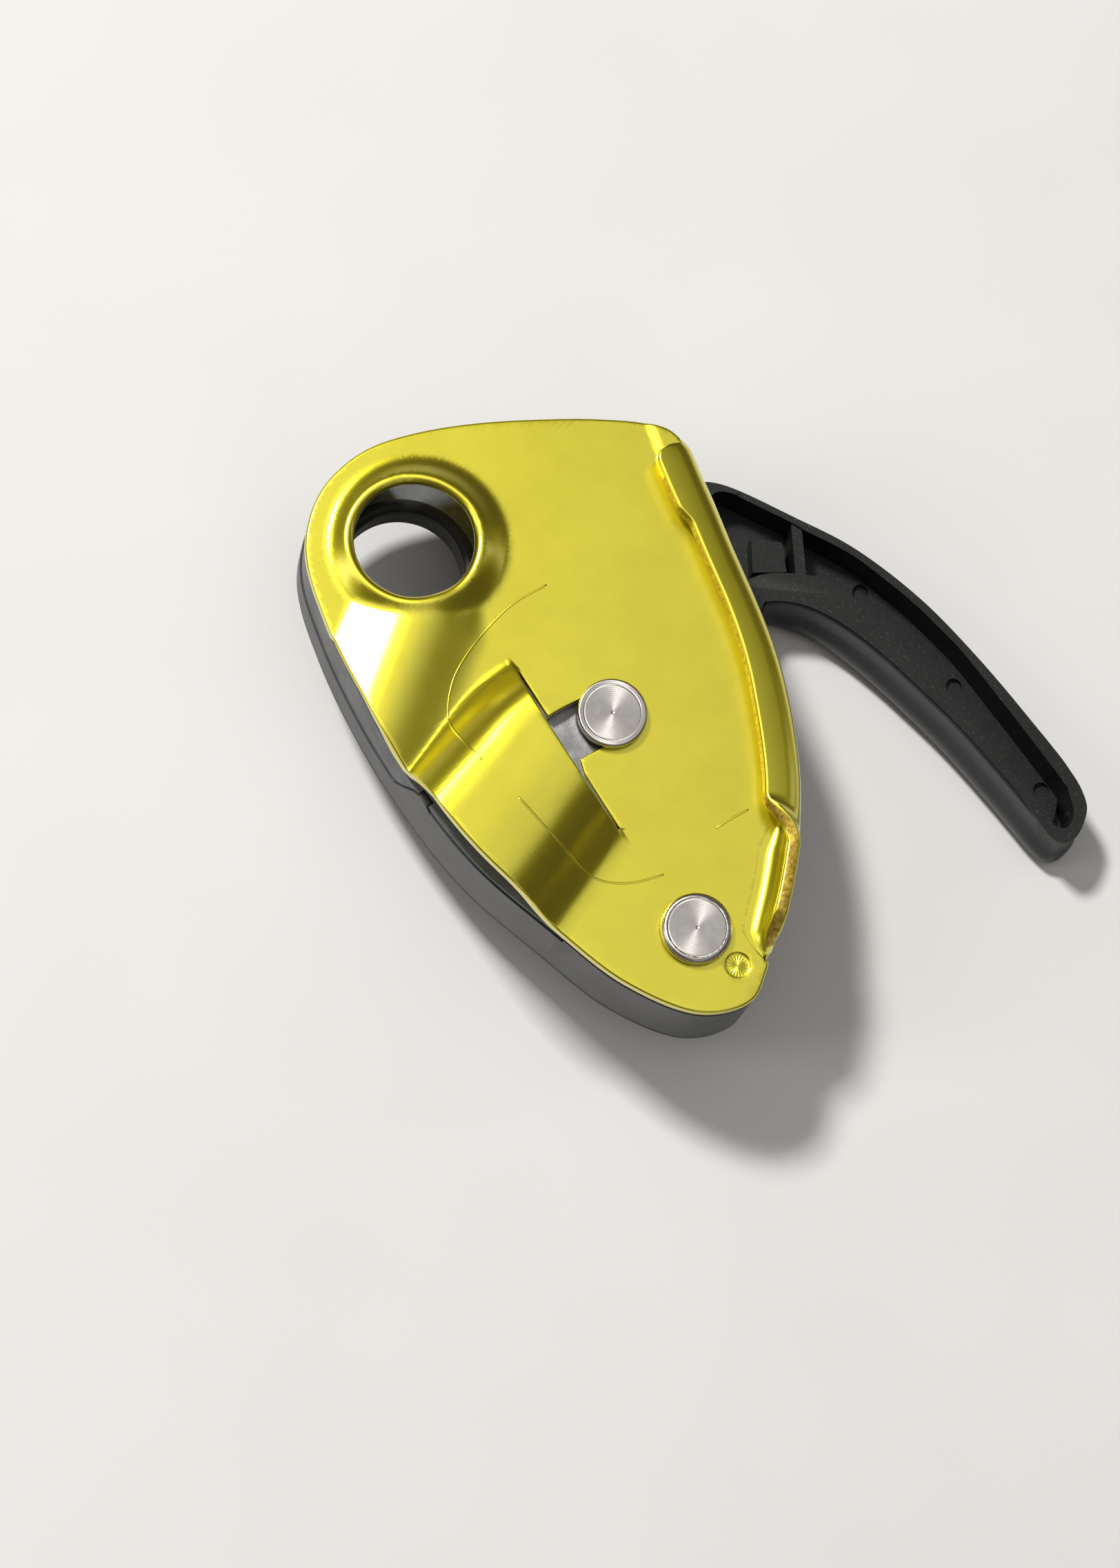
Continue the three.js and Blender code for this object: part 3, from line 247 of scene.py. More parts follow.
def turned(profile, centre=(0, 0), steps=STEPS):
    """A form turned about a vertical line, from (radius, height) pairs; an open one ends on the line."""
    bm = bmesh.new()
    verts = [bm.verts.new((centre[0] + radius, centre[1], height)) for radius, height in profile]
    edges = [bm.edges.new(pair) for pair in zip(verts, verts[1:])]
    bmesh.ops.spin(bm, geom=verts + edges, cent=(centre[0], centre[1], 0), axis=(0, 0, 1),
                   angle=2 * math.pi, steps=steps, use_merge=True)
    bmesh.ops.remove_doubles(bm, verts=bm.verts, dist=0.001)
    bmesh.ops.recalc_face_normals(bm, faces=bm.faces)
    return from_bmesh("turned", bm)


def cylinder(radius, low, high, centre=(0, 0), steps=STEPS):
    return turned([(0, low), (radius, low), (radius, high), (0, high)], centre, steps)


def ring(inner, outer, low, high, centre=(0, 0), steps=STEPS):
    return turned([(inner, low), (outer, low), (outer, high), (inner, high), (inner, low)], centre, steps)


def block(width, depth, low, high, centre=(0, 0), degrees=0):
    bm = bmesh.new()
    bmesh.ops.create_cube(bm, size=1)
    bmesh.ops.scale(bm, vec=(width, depth, high - low), verts=bm.verts)
    turn = Matrix.Rotation(math.radians(degrees), 3, "Z")
    bmesh.ops.rotate(bm, cent=(0, 0, 0), matrix=turn, verts=bm.verts)
    bmesh.ops.translate(bm, vec=(centre[0], centre[1], (low + high) / 2), verts=bm.verts)
    return from_bmesh("block", bm)


def sector(inner, outer, start, end, low, high, centre=(0, 0)):
    steps = max(4, math.ceil(abs(end - start) / 3))
    return prism(arc(centre, outer, start, end, steps) + arc(centre, inner, end, start, steps), low, high)


def band(points, near, far, low, high):
    return prism(shifted(points, near) + shifted(points, far)[::-1], low, high)


def applied(obj):
    """Turns an object's modifiers into mesh."""
    graph = bpy.context.evaluated_depsgraph_get()
    mesh = bpy.data.meshes.new_from_object(obj.evaluated_get(graph))
    obj.modifiers.clear()
    old = obj.data
    obj.data = mesh
    bpy.data.meshes.remove(old)
    return obj


def combined(target, operation, tools):
    for tool in tools:
        modifier = target.modifiers.new("shape", "BOOLEAN")
        modifier.operation = operation
        modifier.solver = "EXACT"
        modifier.object = tool
        applied(target)
        bpy.data.objects.remove(tool)
    return target


def cut(target, *tools):
    return combined(target, "DIFFERENCE", tools)


def joined(target, *tools):
    return combined(target, "UNION", tools)


def common(target, *tools):
    return combined(target, "INTERSECT", tools)


def softened(obj, width, segments=2, degrees=30):
    """Small rounded edges wherever two faces meet at more than the angle."""
    bm = bmesh.new()
    bm.from_mesh(obj.data)
    bmesh.ops.remove_doubles(bm, verts=bm.verts, dist=0.004)
    bmesh.ops.dissolve_limit(bm, angle_limit=math.radians(0.5), verts=bm.verts, edges=bm.edges)
    bm.to_mesh(obj.data)
    bm.free()
    bevel = obj.modifiers.new("edges", "BEVEL")
    bevel.width = width
    bevel.segments = segments
    bevel.limit_method = "ANGLE"
    bevel.angle_limit = math.radians(degrees)
    bevel.miter_outer = "MITER_ARC"
    return applied(obj)


def thickened(obj, thickness, offset, rim=0):
    """A bare sheet made a solid one: half to each side at offset 0, all of it inwards at -1."""
    wall = obj.modifiers.new("thickness", "SOLIDIFY")
    wall.thickness = thickness
    wall.offset = offset
    wall.material_offset_rim = rim
    return applied(obj)


def strip(columns, rows, place, facing=None):
    """A bare sheet in columns and rows, with its corners where place says and its faces turned to facing."""
    bm = bmesh.new()
    bmesh.ops.create_grid(bm, x_segments=columns - 1, y_segments=rows - 1, size=1)
    for v in bm.verts:
        v.co = place(round((v.co.x + 1) / 2 * (columns - 1)), round((v.co.y + 1) / 2 * (rows - 1)))
    bmesh.ops.recalc_face_normals(bm, faces=bm.faces)
    if facing and sum(face.normal.dot(facing) for face in bm.faces[:8]) < 0:
        bmesh.ops.reverse_faces(bm, faces=bm.faces)
    return from_bmesh("strip", bm)


def finished(obj, name, body, solid, slot, *materials, keep_flat=True):
    """Names a piece, puts it into metres, dresses it and lets it ride in place of its solid."""
    obj.name = name
    obj.data.name = name
    obj.data.transform(Matrix.Scale(MM, 4))
    obj.data.shade_smooth()
    if keep_flat:
        normals = obj.modifiers.new("normals", "WEIGHTED_NORMAL")
        normals.keep_sharp = False
        normals.weight = 50
        applied(obj)
    held = obj.data.materials
    for i, material in enumerate(materials):
        if i < len(held):
            held[i] = material
        else:
            held.append(material)
    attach(obj, body)
    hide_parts(solid)
    return obj


# Materials

def node(tree, kind, **inputs):
    made = tree.nodes.new(kind)
    for key, value in inputs.items():
        made.inputs[key.replace("_", " ")].default_value = value
    return made


def ramp(tree, source, low, high, low_colour, high_colour):
    made = tree.nodes.new("ShaderNodeValToRGB")
    made.color_ramp.elements[0].position = low
    made.color_ramp.elements[0].color = (*low_colour, 1)
    made.color_ramp.elements[1].position = high
    made.color_ramp.elements[1].color = (*high_colour, 1)
    tree.links.new(source, made.inputs["Fac"])
    return made.outputs["Color"]


def ranged(tree, source, low, high):
    made = tree.nodes.new("ShaderNodeMapRange")
    made.inputs["To Min"].default_value = low
    made.inputs["To Max"].default_value = high
    tree.links.new(source, made.inputs["Value"])
    return made.outputs["Result"]


def noise(tree, place, size_mm, detail=3, roughness=0.6, stretch=(1, 1, 1), turn=0):
    mapping = tree.nodes.new("ShaderNodeMapping")
    mapping.inputs["Rotation"].default_value = (0, 0, math.radians(turn))
    mapping.inputs["Scale"].default_value = stretch
    tree.links.new(place, mapping.inputs["Vector"])
    made = node(tree, "ShaderNodeTexNoise", Scale=1 / (size_mm * MM), Detail=detail, Roughness=roughness)
    tree.links.new(mapping.outputs["Vector"], made.inputs["Vector"])
    return made.outputs["Fac"]


def bumped(tree, height, depth_mm, strength, under=None):
    made = node(tree, "ShaderNodeBump", Strength=strength, Distance=depth_mm * MM)
    tree.links.new(height, made.inputs["Height"])
    if under:
        tree.links.new(under, made.inputs["Normal"])
    return made.outputs["Normal"]


def surface(name, metallic, specular=0.5, coat=0.0):
    material = bpy.data.materials.new(name)
    material.use_nodes = True
    tree = material.node_tree
    shader = tree.nodes["Principled BSDF"]
    shader.inputs["Metallic"].default_value = metallic
    shader.inputs["Specular IOR Level"].default_value = specular
    shader.inputs["Coat Weight"].default_value = coat
    place = tree.nodes.new("ShaderNodeTexCoord").outputs["Object"]
    return material, tree, shader, place


def dressed(tree, shader, colour, grain, rough, depth_mm, strength, under=None):
    """Gives a surface its colour, and from one grain its roughness and its fine relief."""
    tree.links.new(colour, shader.inputs["Base Color"])
    tree.links.new(ranged(tree, grain, *rough), shader.inputs["Roughness"])
    tree.links.new(bumped(tree, grain, depth_mm, strength, under), shader.inputs["Normal"])


def anodised_sheet():
    material, tree, shader, place = surface("anodised_sheet", 1, 0.5, 1.0)
    cloud = noise(tree, place, 9, 3)
    colour = ramp(tree, cloud, 0.35, 0.65, (0.69, 0.61, 0.014), (0.74, 0.66, 0.02))
    grain = noise(tree, place, 0.16, 4, 0.75)
    strokes = noise(tree, place, 0.3, 3, 0.6, (1, 0.08, 1), 50)
    dressed(tree, shader, colour, grain, (0.27, 0.38), 0.02, 0.4, bumped(tree, strokes, 0.01, 0.12))
    shader.inputs["Coat Roughness"].default_value = 0.22
    shader.inputs["Coat IOR"].default_value = 1.65
    return material


def worn_edge():
    material, tree, shader, place = surface("worn_cut_edge", 1)
    cloud = noise(tree, place, 0.7, 5, 0.75, (1, 1, 0.5))
    colour = ramp(tree, cloud, 0.4, 0.6, (0.34, 0.19, 0.03), (0.66, 0.50, 0.09))
    dressed(tree, shader, colour, noise(tree, place, 0.22, 4, 0.8), (0.3, 0.6), 0.07, 0.8)
    return material


def moulded(name, dark, light, grain_mm, rough, depth_mm, specks=None):
    """A moulded plastic: clouds of colour, fine grain and, where given, the glints of its glass filling."""
    material, tree, shader, place = surface(name, 0, 0.35)
    colour = ramp(tree, noise(tree, place, 6, 4), 0.35, 0.65, dark, light)
    if specks:
        speck = noise(tree, place, 0.22, 2, 0.5, (1, 0.35, 1), 50)
        blend = tree.nodes.new("ShaderNodeMix")
        blend.data_type = "RGBA"
        tree.links.new(ramp(tree, speck, 0.6, 0.72, (0, 0, 0), (1, 1, 1)), blend.inputs["Factor"])
        tree.links.new(colour, blend.inputs["A"])
        blend.inputs["B"].default_value = (*specks, 1)
        colour = blend.outputs["Result"]
    dressed(tree, shader, colour, noise(tree, place, grain_mm, 4, 0.75), rough, depth_mm, 0.6)
    return material


def steel(name, dark, light, rough, grain_mm, depth_mm):
    material, tree, shader, place = surface(name, 1)
    colour = ramp(tree, noise(tree, place, 2.5, 5, 0.6), 0.35, 0.65, dark, light)
    dressed(tree, shader, colour, noise(tree, place, grain_mm, 4, 0.7), rough, depth_mm, 0.5)
    return material


def turned_face(name, centre):
    """Steel with the fine rings that a lathe tool leaves about the piece's own centre."""
    material, tree, shader, place = surface(name, 1)
    colour = ramp(tree, noise(tree, place, 1.8, 5, 0.65), 0.3, 0.7, (0.50, 0.47, 0.43), (0.63, 0.60, 0.56))
    mapping = tree.nodes.new("ShaderNodeMapping")
    mapping.inputs["Location"].default_value = (-centre[0] * MM, -centre[1] * MM, 0)
    tree.links.new(place, mapping.inputs["Vector"])
    rings = node(tree, "ShaderNodeTexWave", Scale=1100, Distortion=0.4, Detail=3, Detail_Scale=1.5)
    rings.wave_type = "RINGS"
    rings.rings_direction = "Z"
    tree.links.new(mapping.outputs["Vector"], rings.inputs["Vector"])
    dressed(tree, shader, colour, rings.outputs["Fac"], (0.24, 0.36), 0.003, 0.25)
    tangent = tree.nodes.new("ShaderNodeTangent")
    tangent.direction_type = "UV_MAP"
    tangent.uv_map = "turning"
    tree.links.new(tangent.outputs["Tangent"], shader.inputs["Tangent"])
    shader.inputs["Anisotropic"].default_value = 0.7
    return material


ANODISED = anodised_sheet()
WORN = worn_edge()
HANDLE_NYLON = moulded("handle_nylon", (0.004, 0.0048, 0.0043), (0.0075, 0.0085, 0.0078), 0.2,
                       (0.36, 0.52), 0.05, (0.05, 0.05, 0.045))
GRIP_NYLON = moulded("grip_nylon", (0.014, 0.014, 0.017), (0.021, 0.021, 0.025), 0.3, (0.3, 0.4), 0.015)
HOUSING_NYLON = moulded("housing_nylon", (0.040, 0.042, 0.045), (0.060, 0.062, 0.065), 0.3,
                        (0.34, 0.46), 0.02)
COVER_NYLON = moulded("cover_nylon", (0.014, 0.014, 0.015), (0.026, 0.026, 0.027), 0.3, (0.42, 0.6), 0.03)
GUARD_FINISH = moulded("guard_grain", (0.14, 0.145, 0.15), (0.21, 0.215, 0.22), 0.25, (0.5, 0.7), 0.06)
PLATE_METAL = steel("plate_metal", (0.10, 0.105, 0.11), (0.15, 0.155, 0.16), (0.38, 0.55), 0.3, 0.02)
CAST_STEEL = steel("cast_steel", (0.22, 0.22, 0.225), (0.36, 0.36, 0.365), (0.4, 0.62), 0.35, 0.06)
SPRING_STEEL = steel("spring_steel", (0.30, 0.31, 0.32), (0.42, 0.43, 0.44), (0.25, 0.4), 0.5, 0.01)
PLAIN_STEEL = steel("plain_steel", (0.45, 0.43, 0.40), (0.58, 0.56, 0.53), (0.25, 0.4), 0.4, 0.01)
TURNED_AXLE = turned_face("turned_axle_head", (0, 0))
TURNED_RIVET = turned_face("turned_rivet_head", PIVOT)
BRONZE = steel("bearing_bronze", (0.36, 0.22, 0.08), (0.48, 0.31, 0.13), (0.32, 0.5), 0.4, 0.02)


# Camera, light and floor

PICTURE_HEIGHT = 2274
PICTURE_MIDDLE = (812, 1137)
PICTURE_TURN = 35.88
AXLE_PIXEL = (888.6, 1032.7)
AXLE_HEIGHT = 33.6
FOCAL_PIXELS = 7000
SENSOR_HEIGHT = 36
CAMERA_DISTANCE = 700
CAMERA_TILT = math.radians(16)
CAMERA_SIDE = (-0.43, -0.903)
PANEL_EDGE = 32
PANEL_CORE = 8
FLOOR_HALF = 1.5

picture_turn = Matrix.Rotation(math.radians(-PICTURE_TURN), 3, "Z")


def add_camera():
    """The camera looks down from below left; it sees the axle's head at the picture's own place for it."""
    lean = math.sin(CAMERA_TILT)
    back = Vector((CAMERA_SIDE[0] * lean, CAMERA_SIDE[1] * lean, math.cos(CAMERA_TILT))).normalized()
    up = (Vector((0, 1, 0)) - back * back.y).normalized()
    right = up.cross(back)
    across, down = ((AXLE_PIXEL[i] - PICTURE_MIDDLE[i]) / FOCAL_PIXELS for i in (0, 1))
    ray = right * across - up * down - back
    place = Vector((0, 0, AXLE_HEIGHT)) + ray * (CAMERA_DISTANCE / ray.dot(back))
    data = bpy.data.cameras.new("camera")
    data.sensor_fit = "VERTICAL"
    data.sensor_height = SENSOR_HEIGHT
    data.lens = FOCAL_PIXELS / PICTURE_HEIGHT * SENSOR_HEIGHT
    data.clip_start = 0.01
    camera = bpy.data.objects.new("camera", data)
    axes = Matrix([picture_turn @ axis for axis in (right, up, back)]).transposed()
    camera.matrix_world = Matrix.Translation(picture_turn @ place * MM) @ axes.to_4x4()
    bpy.context.scene.collection.objects.link(camera)
    bpy.context.scene.camera = camera


def add_lamp(name, towards, distance, width, height, power, colour=(1, 1, 1)):
    """A soft panel that faces the device from a direction given on the picture: right, up, out."""
    direction = picture_turn @ Vector(towards).normalized()
    data = bpy.data.lights.new(name, "AREA")
    data.shape = "RECTANGLE"
    data.size = width
    data.size_y = height
    data.energy = power
    data.color = colour
    lamp = bpy.data.objects.new(name, data)
    lamp.location = direction * distance
    lamp.rotation_euler = (-direction).to_track_quat("-Z", "Y").to_euler()
    bpy.context.scene.collection.objects.link(lamp)


def add_world():
    world = bpy.data.worlds.new("studio")
    world.use_nodes = True
    tree = world.node_tree
    place = tree.nodes.new("ShaderNodeTexCoord").outputs["Generated"]
    mapping = tree.nodes.new("ShaderNodeMapping")
    mapping.inputs["Rotation"].default_value = (0, 0, math.radians(PICTURE_TURN))
    tree.links.new(place, mapping.inputs["Vector"])
    towards = tree.nodes.new("ShaderNodeVectorMath")
    towards.operation = "DOT_PRODUCT"
    tree.links.new(mapping.outputs["Vector"], towards.inputs[0])
    towards.inputs[1].default_value = Vector((0.06, 0.0, 1)).normalized()
    edge, core = math.cos(math.radians(PANEL_EDGE)), math.cos(math.radians(PANEL_CORE))
    panel = ramp(tree, towards.outputs["Value"], edge, core, (0.085, 0.072, 0.060), (1.0, 1.0, 1.01))
    tree.links.new(panel, tree.nodes["Background"].inputs["Color"])
    bpy.context.scene.world = world


def add_floor():
    bm = bmesh.new()
    bmesh.ops.create_grid(bm, x_segments=1, y_segments=1, size=FLOOR_HALF)
    floor = from_bmesh("floor", bm)
    material, tree, shader, place = surface("pale_floor", 0, 0.2)
    cloud = noise(tree, place, 60, 2)
    tree.links.new(ramp(tree, cloud, 0.3, 0.7, (0.80, 0.795, 0.785), (0.83, 0.825, 0.815)),
                   shader.inputs["Base Color"])
    shader.inputs["Roughness"].default_value = 0.85
    floor.data.materials.append(material)


add_camera()
add_lamp("key", (-0.45, 0.47, 1.0), 1.7, 0.22, 0.22, 23.5, (1, 0.985, 0.96))
add_lamp("right", (1.0, 0.25, 0.55), 0.9, 0.12, 0.6, 0.25)
add_lamp("left", (-1.0, -0.1, 0.75), 0.9, 0.25, 0.6, 1.2)
add_lamp("front", (0.3, -1.0, 1.0), 1.2, 0.5, 0.4, 0.5)
add_world()
add_floor()
bpy.context.scene.view_settings.view_transform = "Standard"


# The pressed side plate: a flat sheet with its margin bent up and folded over

PATH_START = 0.055
PATH_LIP_END = 0.319
LEAD = 1.2
MARGIN_ROWS = 44
WALL_RADIUS = 3.4
WALL_BEND = 86
LIP_START = 23.4
LIP_RADIUS = 1.9
LIP_BEND = 170
LIP_WIDTH = 5.8
LIP_WIDTH_HIGH = 5.0
TAB_WIDTH = 6.0
TAB_CORNER = 2.1
CURL_RADIUS = 40
WORN_LOW = -41
WORN_HIGH = 24.5
LEFT_LIMIT = -29.76

RIM = 0.4
SLOT_RIM = 0.2
# Holes in the sheet: centre, radius, radius of the rim, how far from the centre an edge is the hole's, steps
SHEET_HOLES = [
    (ATTACHMENT, HOLE_RADIUS, 1.1, HOLE_RADIUS + 1.3, 96),
    (PIVOT, 4.3, 0.3, 5, 60),
    (DIMPLE, DIMPLE_RADIUS, 0.24, 3, 48),
]
# Stretches of the net across and up the sheet: start, end, spacing
NET_COLUMNS = [(-31, 8, 0.6), (8, 22, 3), (22, 34, 0.7)]
NET_ROWS = [(-48, -27, 2.5), (-27, 20, 0.6), (20, 54, 0.6)]

HUMP_ANGLE = math.radians(16)
HUMP_START = (-37.04, -9.74)
HUMP_LENGTH = 30
HUMP_HALF = 16.7
HUMP_UPPER_HALF = 18.9
HUMP_HEIGHT = 6.15
HUMP_TAPER = 0.87
HUMP_PULL = 1.7
HUMP_PULL_SPAN = (-20, -9)
BOSS = (-8.3, 36.9)
BOSS_HEIGHT = 2.3
GUIDE_HALF = 0.2
GUIDE_RISE = 0.07
FOLD_POINT = Vector((-15.5, 26.7))
FOLD_DIRECTION = Vector((-0.825, -0.565))
FOLD_HEIGHT = 2.0
CORNER_BEND = (Vector((28.9, 27.9)), Vector((0.27, 0.96)))
CORNER_LIFT = 0.26

hump_section = open_curve(HUMP_SHARES, 12)


def hump_share(across):
    if abs(across) >= 1:
        return 0
    for a, b in zip(hump_section, hump_section[1:]):
        if a.x <= across <= b.x:
            return max(0, mix(a.y, b.y, (across - a.x) / (b.x - a.x)))
    return 0


def lance_x(y):
    return -8.2 + 0.061 * y


def hump_height(x, y):
    if x >= lance_x(y):
        return 0
    dx, dy = x - HUMP_START[0], y - HUMP_START[1]
    depth = dx * math.cos(HUMP_ANGLE) + dy * math.sin(HUMP_ANGLE)
    across = -dx * math.sin(HUMP_ANGLE) + dy * math.cos(HUMP_ANGLE)
    half = HUMP_HALF * (1 + (HUMP_TAPER - 1) * depth / HUMP_LENGTH)
    if across > 0:
        half = HUMP_UPPER_HALF - 0.04 * depth - 0.0143 * max(0, depth - 24) ** 2
    return HUMP_HEIGHT * hump_share(across / half)


def fold_height(x, y):
    """The low fold that runs from the boss down to the left edge, above the hump."""
    place = Vector((x, y)) - FOLD_POINT
    aside = place.dot(Vector((FOLD_DIRECTION.y, -FOLD_DIRECTION.x)))
    along = place.dot(FOLD_DIRECTION)
    if aside > 0:
        drop = 0.24 * (aside ** 3 / 25 - aside ** 4 / 250) if aside < 5 else 0.24 * (aside - 2.5)
        height = max(FOLD_HEIGHT - drop, 0) * (1 - smooth(30, 44, y))
    else:
        foot = mix(7.6, 10.2, smooth(-9, 0, along))
        height = FOLD_HEIGHT * (1 - smooth(0, 1, min(-aside / foot, 1) ** 1.1))
    return height * smooth(-17, -4, along) * smooth(-2, 8, y)


def sheet_height(x, y):
    """How far the pressed sheet stands above its flat."""
    hump = hump_height(x, y)
    radius = math.hypot(x - BOSS[0], y - BOSS[1])
    boss = BOSS_HEIGHT * (1 - smooth(9.4, 13.6, radius) ** 0.8)
    fold = fold_height(x, y) * (1 - smooth(3.5, 6.2, hump))
    corner = (Vector((x, y)) - CORNER_BEND[0]).dot(Vector((CORNER_BEND[1].y, -CORNER_BEND[1].x)))
    lift = CORNER_LIFT * smooth(-0.2, 1.5, corner) * smooth(22, 27, y)
    return (hump ** 4 + boss ** 4 + fold ** 4) ** 0.25 + lift


def sheet_normal(x, y):
    step = 0.15
    slope_x = (sheet_height(x + step, y) - sheet_height(x - step, y)) / (2 * step)
    slope_y = (sheet_height(x, y + step) - sheet_height(x, y - step)) / (2 * step)
    if abs(x - lance_x(y)) < 1:
        slope_x = 0
    return Vector((-slope_x, -slope_y, 1)).normalized()


def margin_path():
    run = [SHEET_OUTLINE[round(k) % OUTLINE_STEPS]
           for k in range(round(PATH_START * OUTLINE_STEPS), round(PATH_LIP_END * OUTLINE_STEPS) + 1)]
    return even(run, 0.4)


path = margin_path()
path_step = (path[1] - path[0]).length
path_length = path_step * (len(path) - 1)
path_lefts = sideways(path)
# The tab's end runs straight, so its last corners all draw back the same way
path_lefts = path_lefts[:-11] + [path_lefts[-11]] * 11


def end_rounding(s, radius):
    """How far a rounded corner at the tab's end draws the edge back at a distance along the margin."""
    return radius * (1 - math.sqrt(max(0, 1 - max(0, (s - path_length + radius) / radius) ** 2)))


def margin_bend(s):
    """Bend radius, bend angle, curl after it and developed length of the margin at a distance along it."""
    folded = smooth(LIP_START - 7, LIP_START + 1.5, s)
    radius = mix(WALL_RADIUS, LIP_RADIUS, smooth(LIP_START - 7, LIP_START, s))
    wall = LEAD + mix(0.4, radius * math.radians(WALL_BEND) + 2.2, smooth(-1, 7.5, s))
    width = mix(LIP_WIDTH, LIP_WIDTH_HIGH, smooth(LIP_START + 12, LIP_START + 36, s))
    width = mix(width, TAB_WIDTH, smooth(path_length - 12.6, path_length - 9, s))
    width -= end_rounding(s, TAB_CORNER)
    first = math.radians(LIP_BEND)
    reach = LIP_RADIUS * (1 - math.sin(first)) + SHEET / 2 + CURL_RADIUS * math.sin(first)
    last = math.pi - math.asin(max((reach - width) / CURL_RADIUS, -0.9))
    length = mix(wall, LEAD + LIP_RADIUS * first + CURL_RADIUS * (last - first), folded)
    angle = min(math.radians(mix(WALL_BEND, LIP_BEND, folded)), (length - LEAD) / radius)
    return radius, angle, folded / CURL_RADIUS, length


def margin_point(s, share):
    """Outward and upward place on the middle of the sheet, from the start of its flat lead."""
    radius, angle, curl, length = margin_bend(s)
    run = share * length
    if run <= LEAD:
        return run, -0.04 * (1 - smooth(0, 0.4 * LEAD, run))
    bent = min((run - LEAD) / radius, angle)
    rest = max(0, run - LEAD - radius * angle)
    out = LEAD + radius * math.sin(bent)
    up = radius * (1 - math.cos(bent))
    if curl < 0.001:
        return out + rest * math.cos(angle), up + rest * math.sin(angle)
    return (out + (math.sin(angle + curl * rest) - math.sin(angle)) / curl,
            up + (math.cos(angle) - math.cos(angle + curl * rest)) / curl)


def margin_reach(s):
    """How far the margin's outer face lies from the start of its lead."""
    reach = max(margin_point(s, k / 40)[0] for k in range(41))
    angle = margin_bend(s)[1]
    return reach + SHEET / 2 * math.sin(min(angle, math.pi / 2))


def margin_corner(k, row):
    """Where a corner of the margin lies; the low end is buried in the flat, the last two rows lie close."""
    s = k * path_step
    share = 1 if row == MARGIN_ROWS else row / (MARGIN_ROWS - 1) * (1 - 0.45 / margin_bend(s)[3])
    out, up = margin_point(s, share)
    buried = 1 - smooth(0, 2, s)
    inward = margin_reach(s) - out + end_rounding(s, 2) * smooth(2, 5, out) + 0.35 * buried
    point = path[k] + path_lefts[k] * inward
    return point.x, point.y, SHEET_TOP - SHEET / 2 + up + 0.003 - 0.06 * buried


def margin_sheet():
    """The bent wall and the folded lip in one run along the right edge."""
    columns, total = len(path), len(path) * (MARGIN_ROWS + 1)
    obj = strip(columns, MARGIN_ROWS + 1, margin_corner)
    obj.data.materials.append(ANODISED)
    obj.data.materials.append(WORN)
    thickened(obj, SHEET, 0, 1)
    for polygon in obj.data.polygons:
        if polygon.material_index == 1 and not WORN_LOW < polygon.center.y < WORN_HIGH:
            polygon.material_index = 0
    weights = obj.data.attributes.new("bevel_weight_edge", "FLOAT", "EDGE")
    for edge in obj.data.edges:
        low, high = sorted(edge.vertices)
        same_side = low // total == high // total
        if same_side and low % total // columns == high % total // columns == MARGIN_ROWS:
            weights.data[edge.index].value = smooth(3, 14, low % columns)
    bevel = obj.modifiers.new("edges", "BEVEL")
    bevel.width = 0.38
    bevel.segments = 3
    bevel.use_clamp_overlap = False
    bevel.material = 0
    bevel.limit_method = "WEIGHT"
    return applied(obj)


def slot_outline(grow):
    """The lance cut and the slot for the axle's neck as one opening, anticlockwise."""
    half = 0.1 + grow
    top, bottom = 13.2, -14.6
    reach = math.hypot(*PIVOT)
    upper = arc(PIVOT, reach + SLOT_HALF + grow, 96, 78, 8)
    lower = arc(PIVOT, reach - SLOT_HALF - grow, 72, 90, 8)
    upper = [p for p in upper if lance_x(p.y) + half + 0.2 < p.x < -0.8]
    lower = [p for p in lower if lance_x(p.y) + half + 0.2 < p.x < -0.8]
    nose = arc((0, 0), SLOT_HALF + grow, 98, -92, 24)
    right_low = [Vector((lance_x(y) + half, y)) for y in (bottom, -12, -8, -5)]
    right_high = [Vector((lance_x(y) + half, y)) for y in (5.2, 8, 11, top)]
    left = [Vector((lance_x(y) - half, y)) for y in (top, 11, 8, 4, 0, -4, -8, -12, bottom)]
    return right_low + lower[::-1] + nose[::-1] + upper[::-1] + right_high + left


def sheet_loops():
    """The flat's edges, set in by the radius of its rounded rim."""
    bent = [p + left * (margin_reach(k * path_step) - LEAD * 0.4)
            for k, (p, left) in enumerate(zip(path, path_lefts))]
    first = round(PATH_START * OUTLINE_STEPS) + 1
    last = round(PATH_LIP_END * OUTLINE_STEPS) + 2
    inset = shifted(SHEET_OUTLINE, RIM, True)
    rest = inset[last:] + inset[:first]
    outer = even(bent[3:] + rest + [bent[3]], 0.6)[:-1]
    holes = [arc(centre, radius + rim, 0, 360, steps)[:-1]
             for centre, radius, rim, near, steps in SHEET_HOLES]
    return [outer] + holes + [slot_outline(SLOT_RIM)]


def sheet_net():
    """The flat sheet as a net of small faces."""
    bm = bmesh.new()
    for loop in sheet_loops():
        verts = [bm.verts.new((p.x, p.y, 0)) for p in loop]
        for a, b in zip(verts, verts[1:] + verts[:1]):
            bm.edges.new((a, b))
    bmesh.ops.triangle_fill(bm, use_beauty=True, edges=bm.edges[:], normal=(0, 0, 1))
    for stretches, across in ((NET_COLUMNS, Vector((1, 0, 0))), (NET_ROWS, Vector((0, 1, 0)))):
        for start, end, spacing in stretches:
            for k in range(int((end - start) / spacing)):
                bmesh.ops.bisect_plane(bm, geom=everything(bm), dist=0.01,
                                       plane_co=across * (start + k * spacing), plane_no=across)
    for face in bm.faces:
        if face.normal.z < 0:
            face.normal_flip()
    return bm


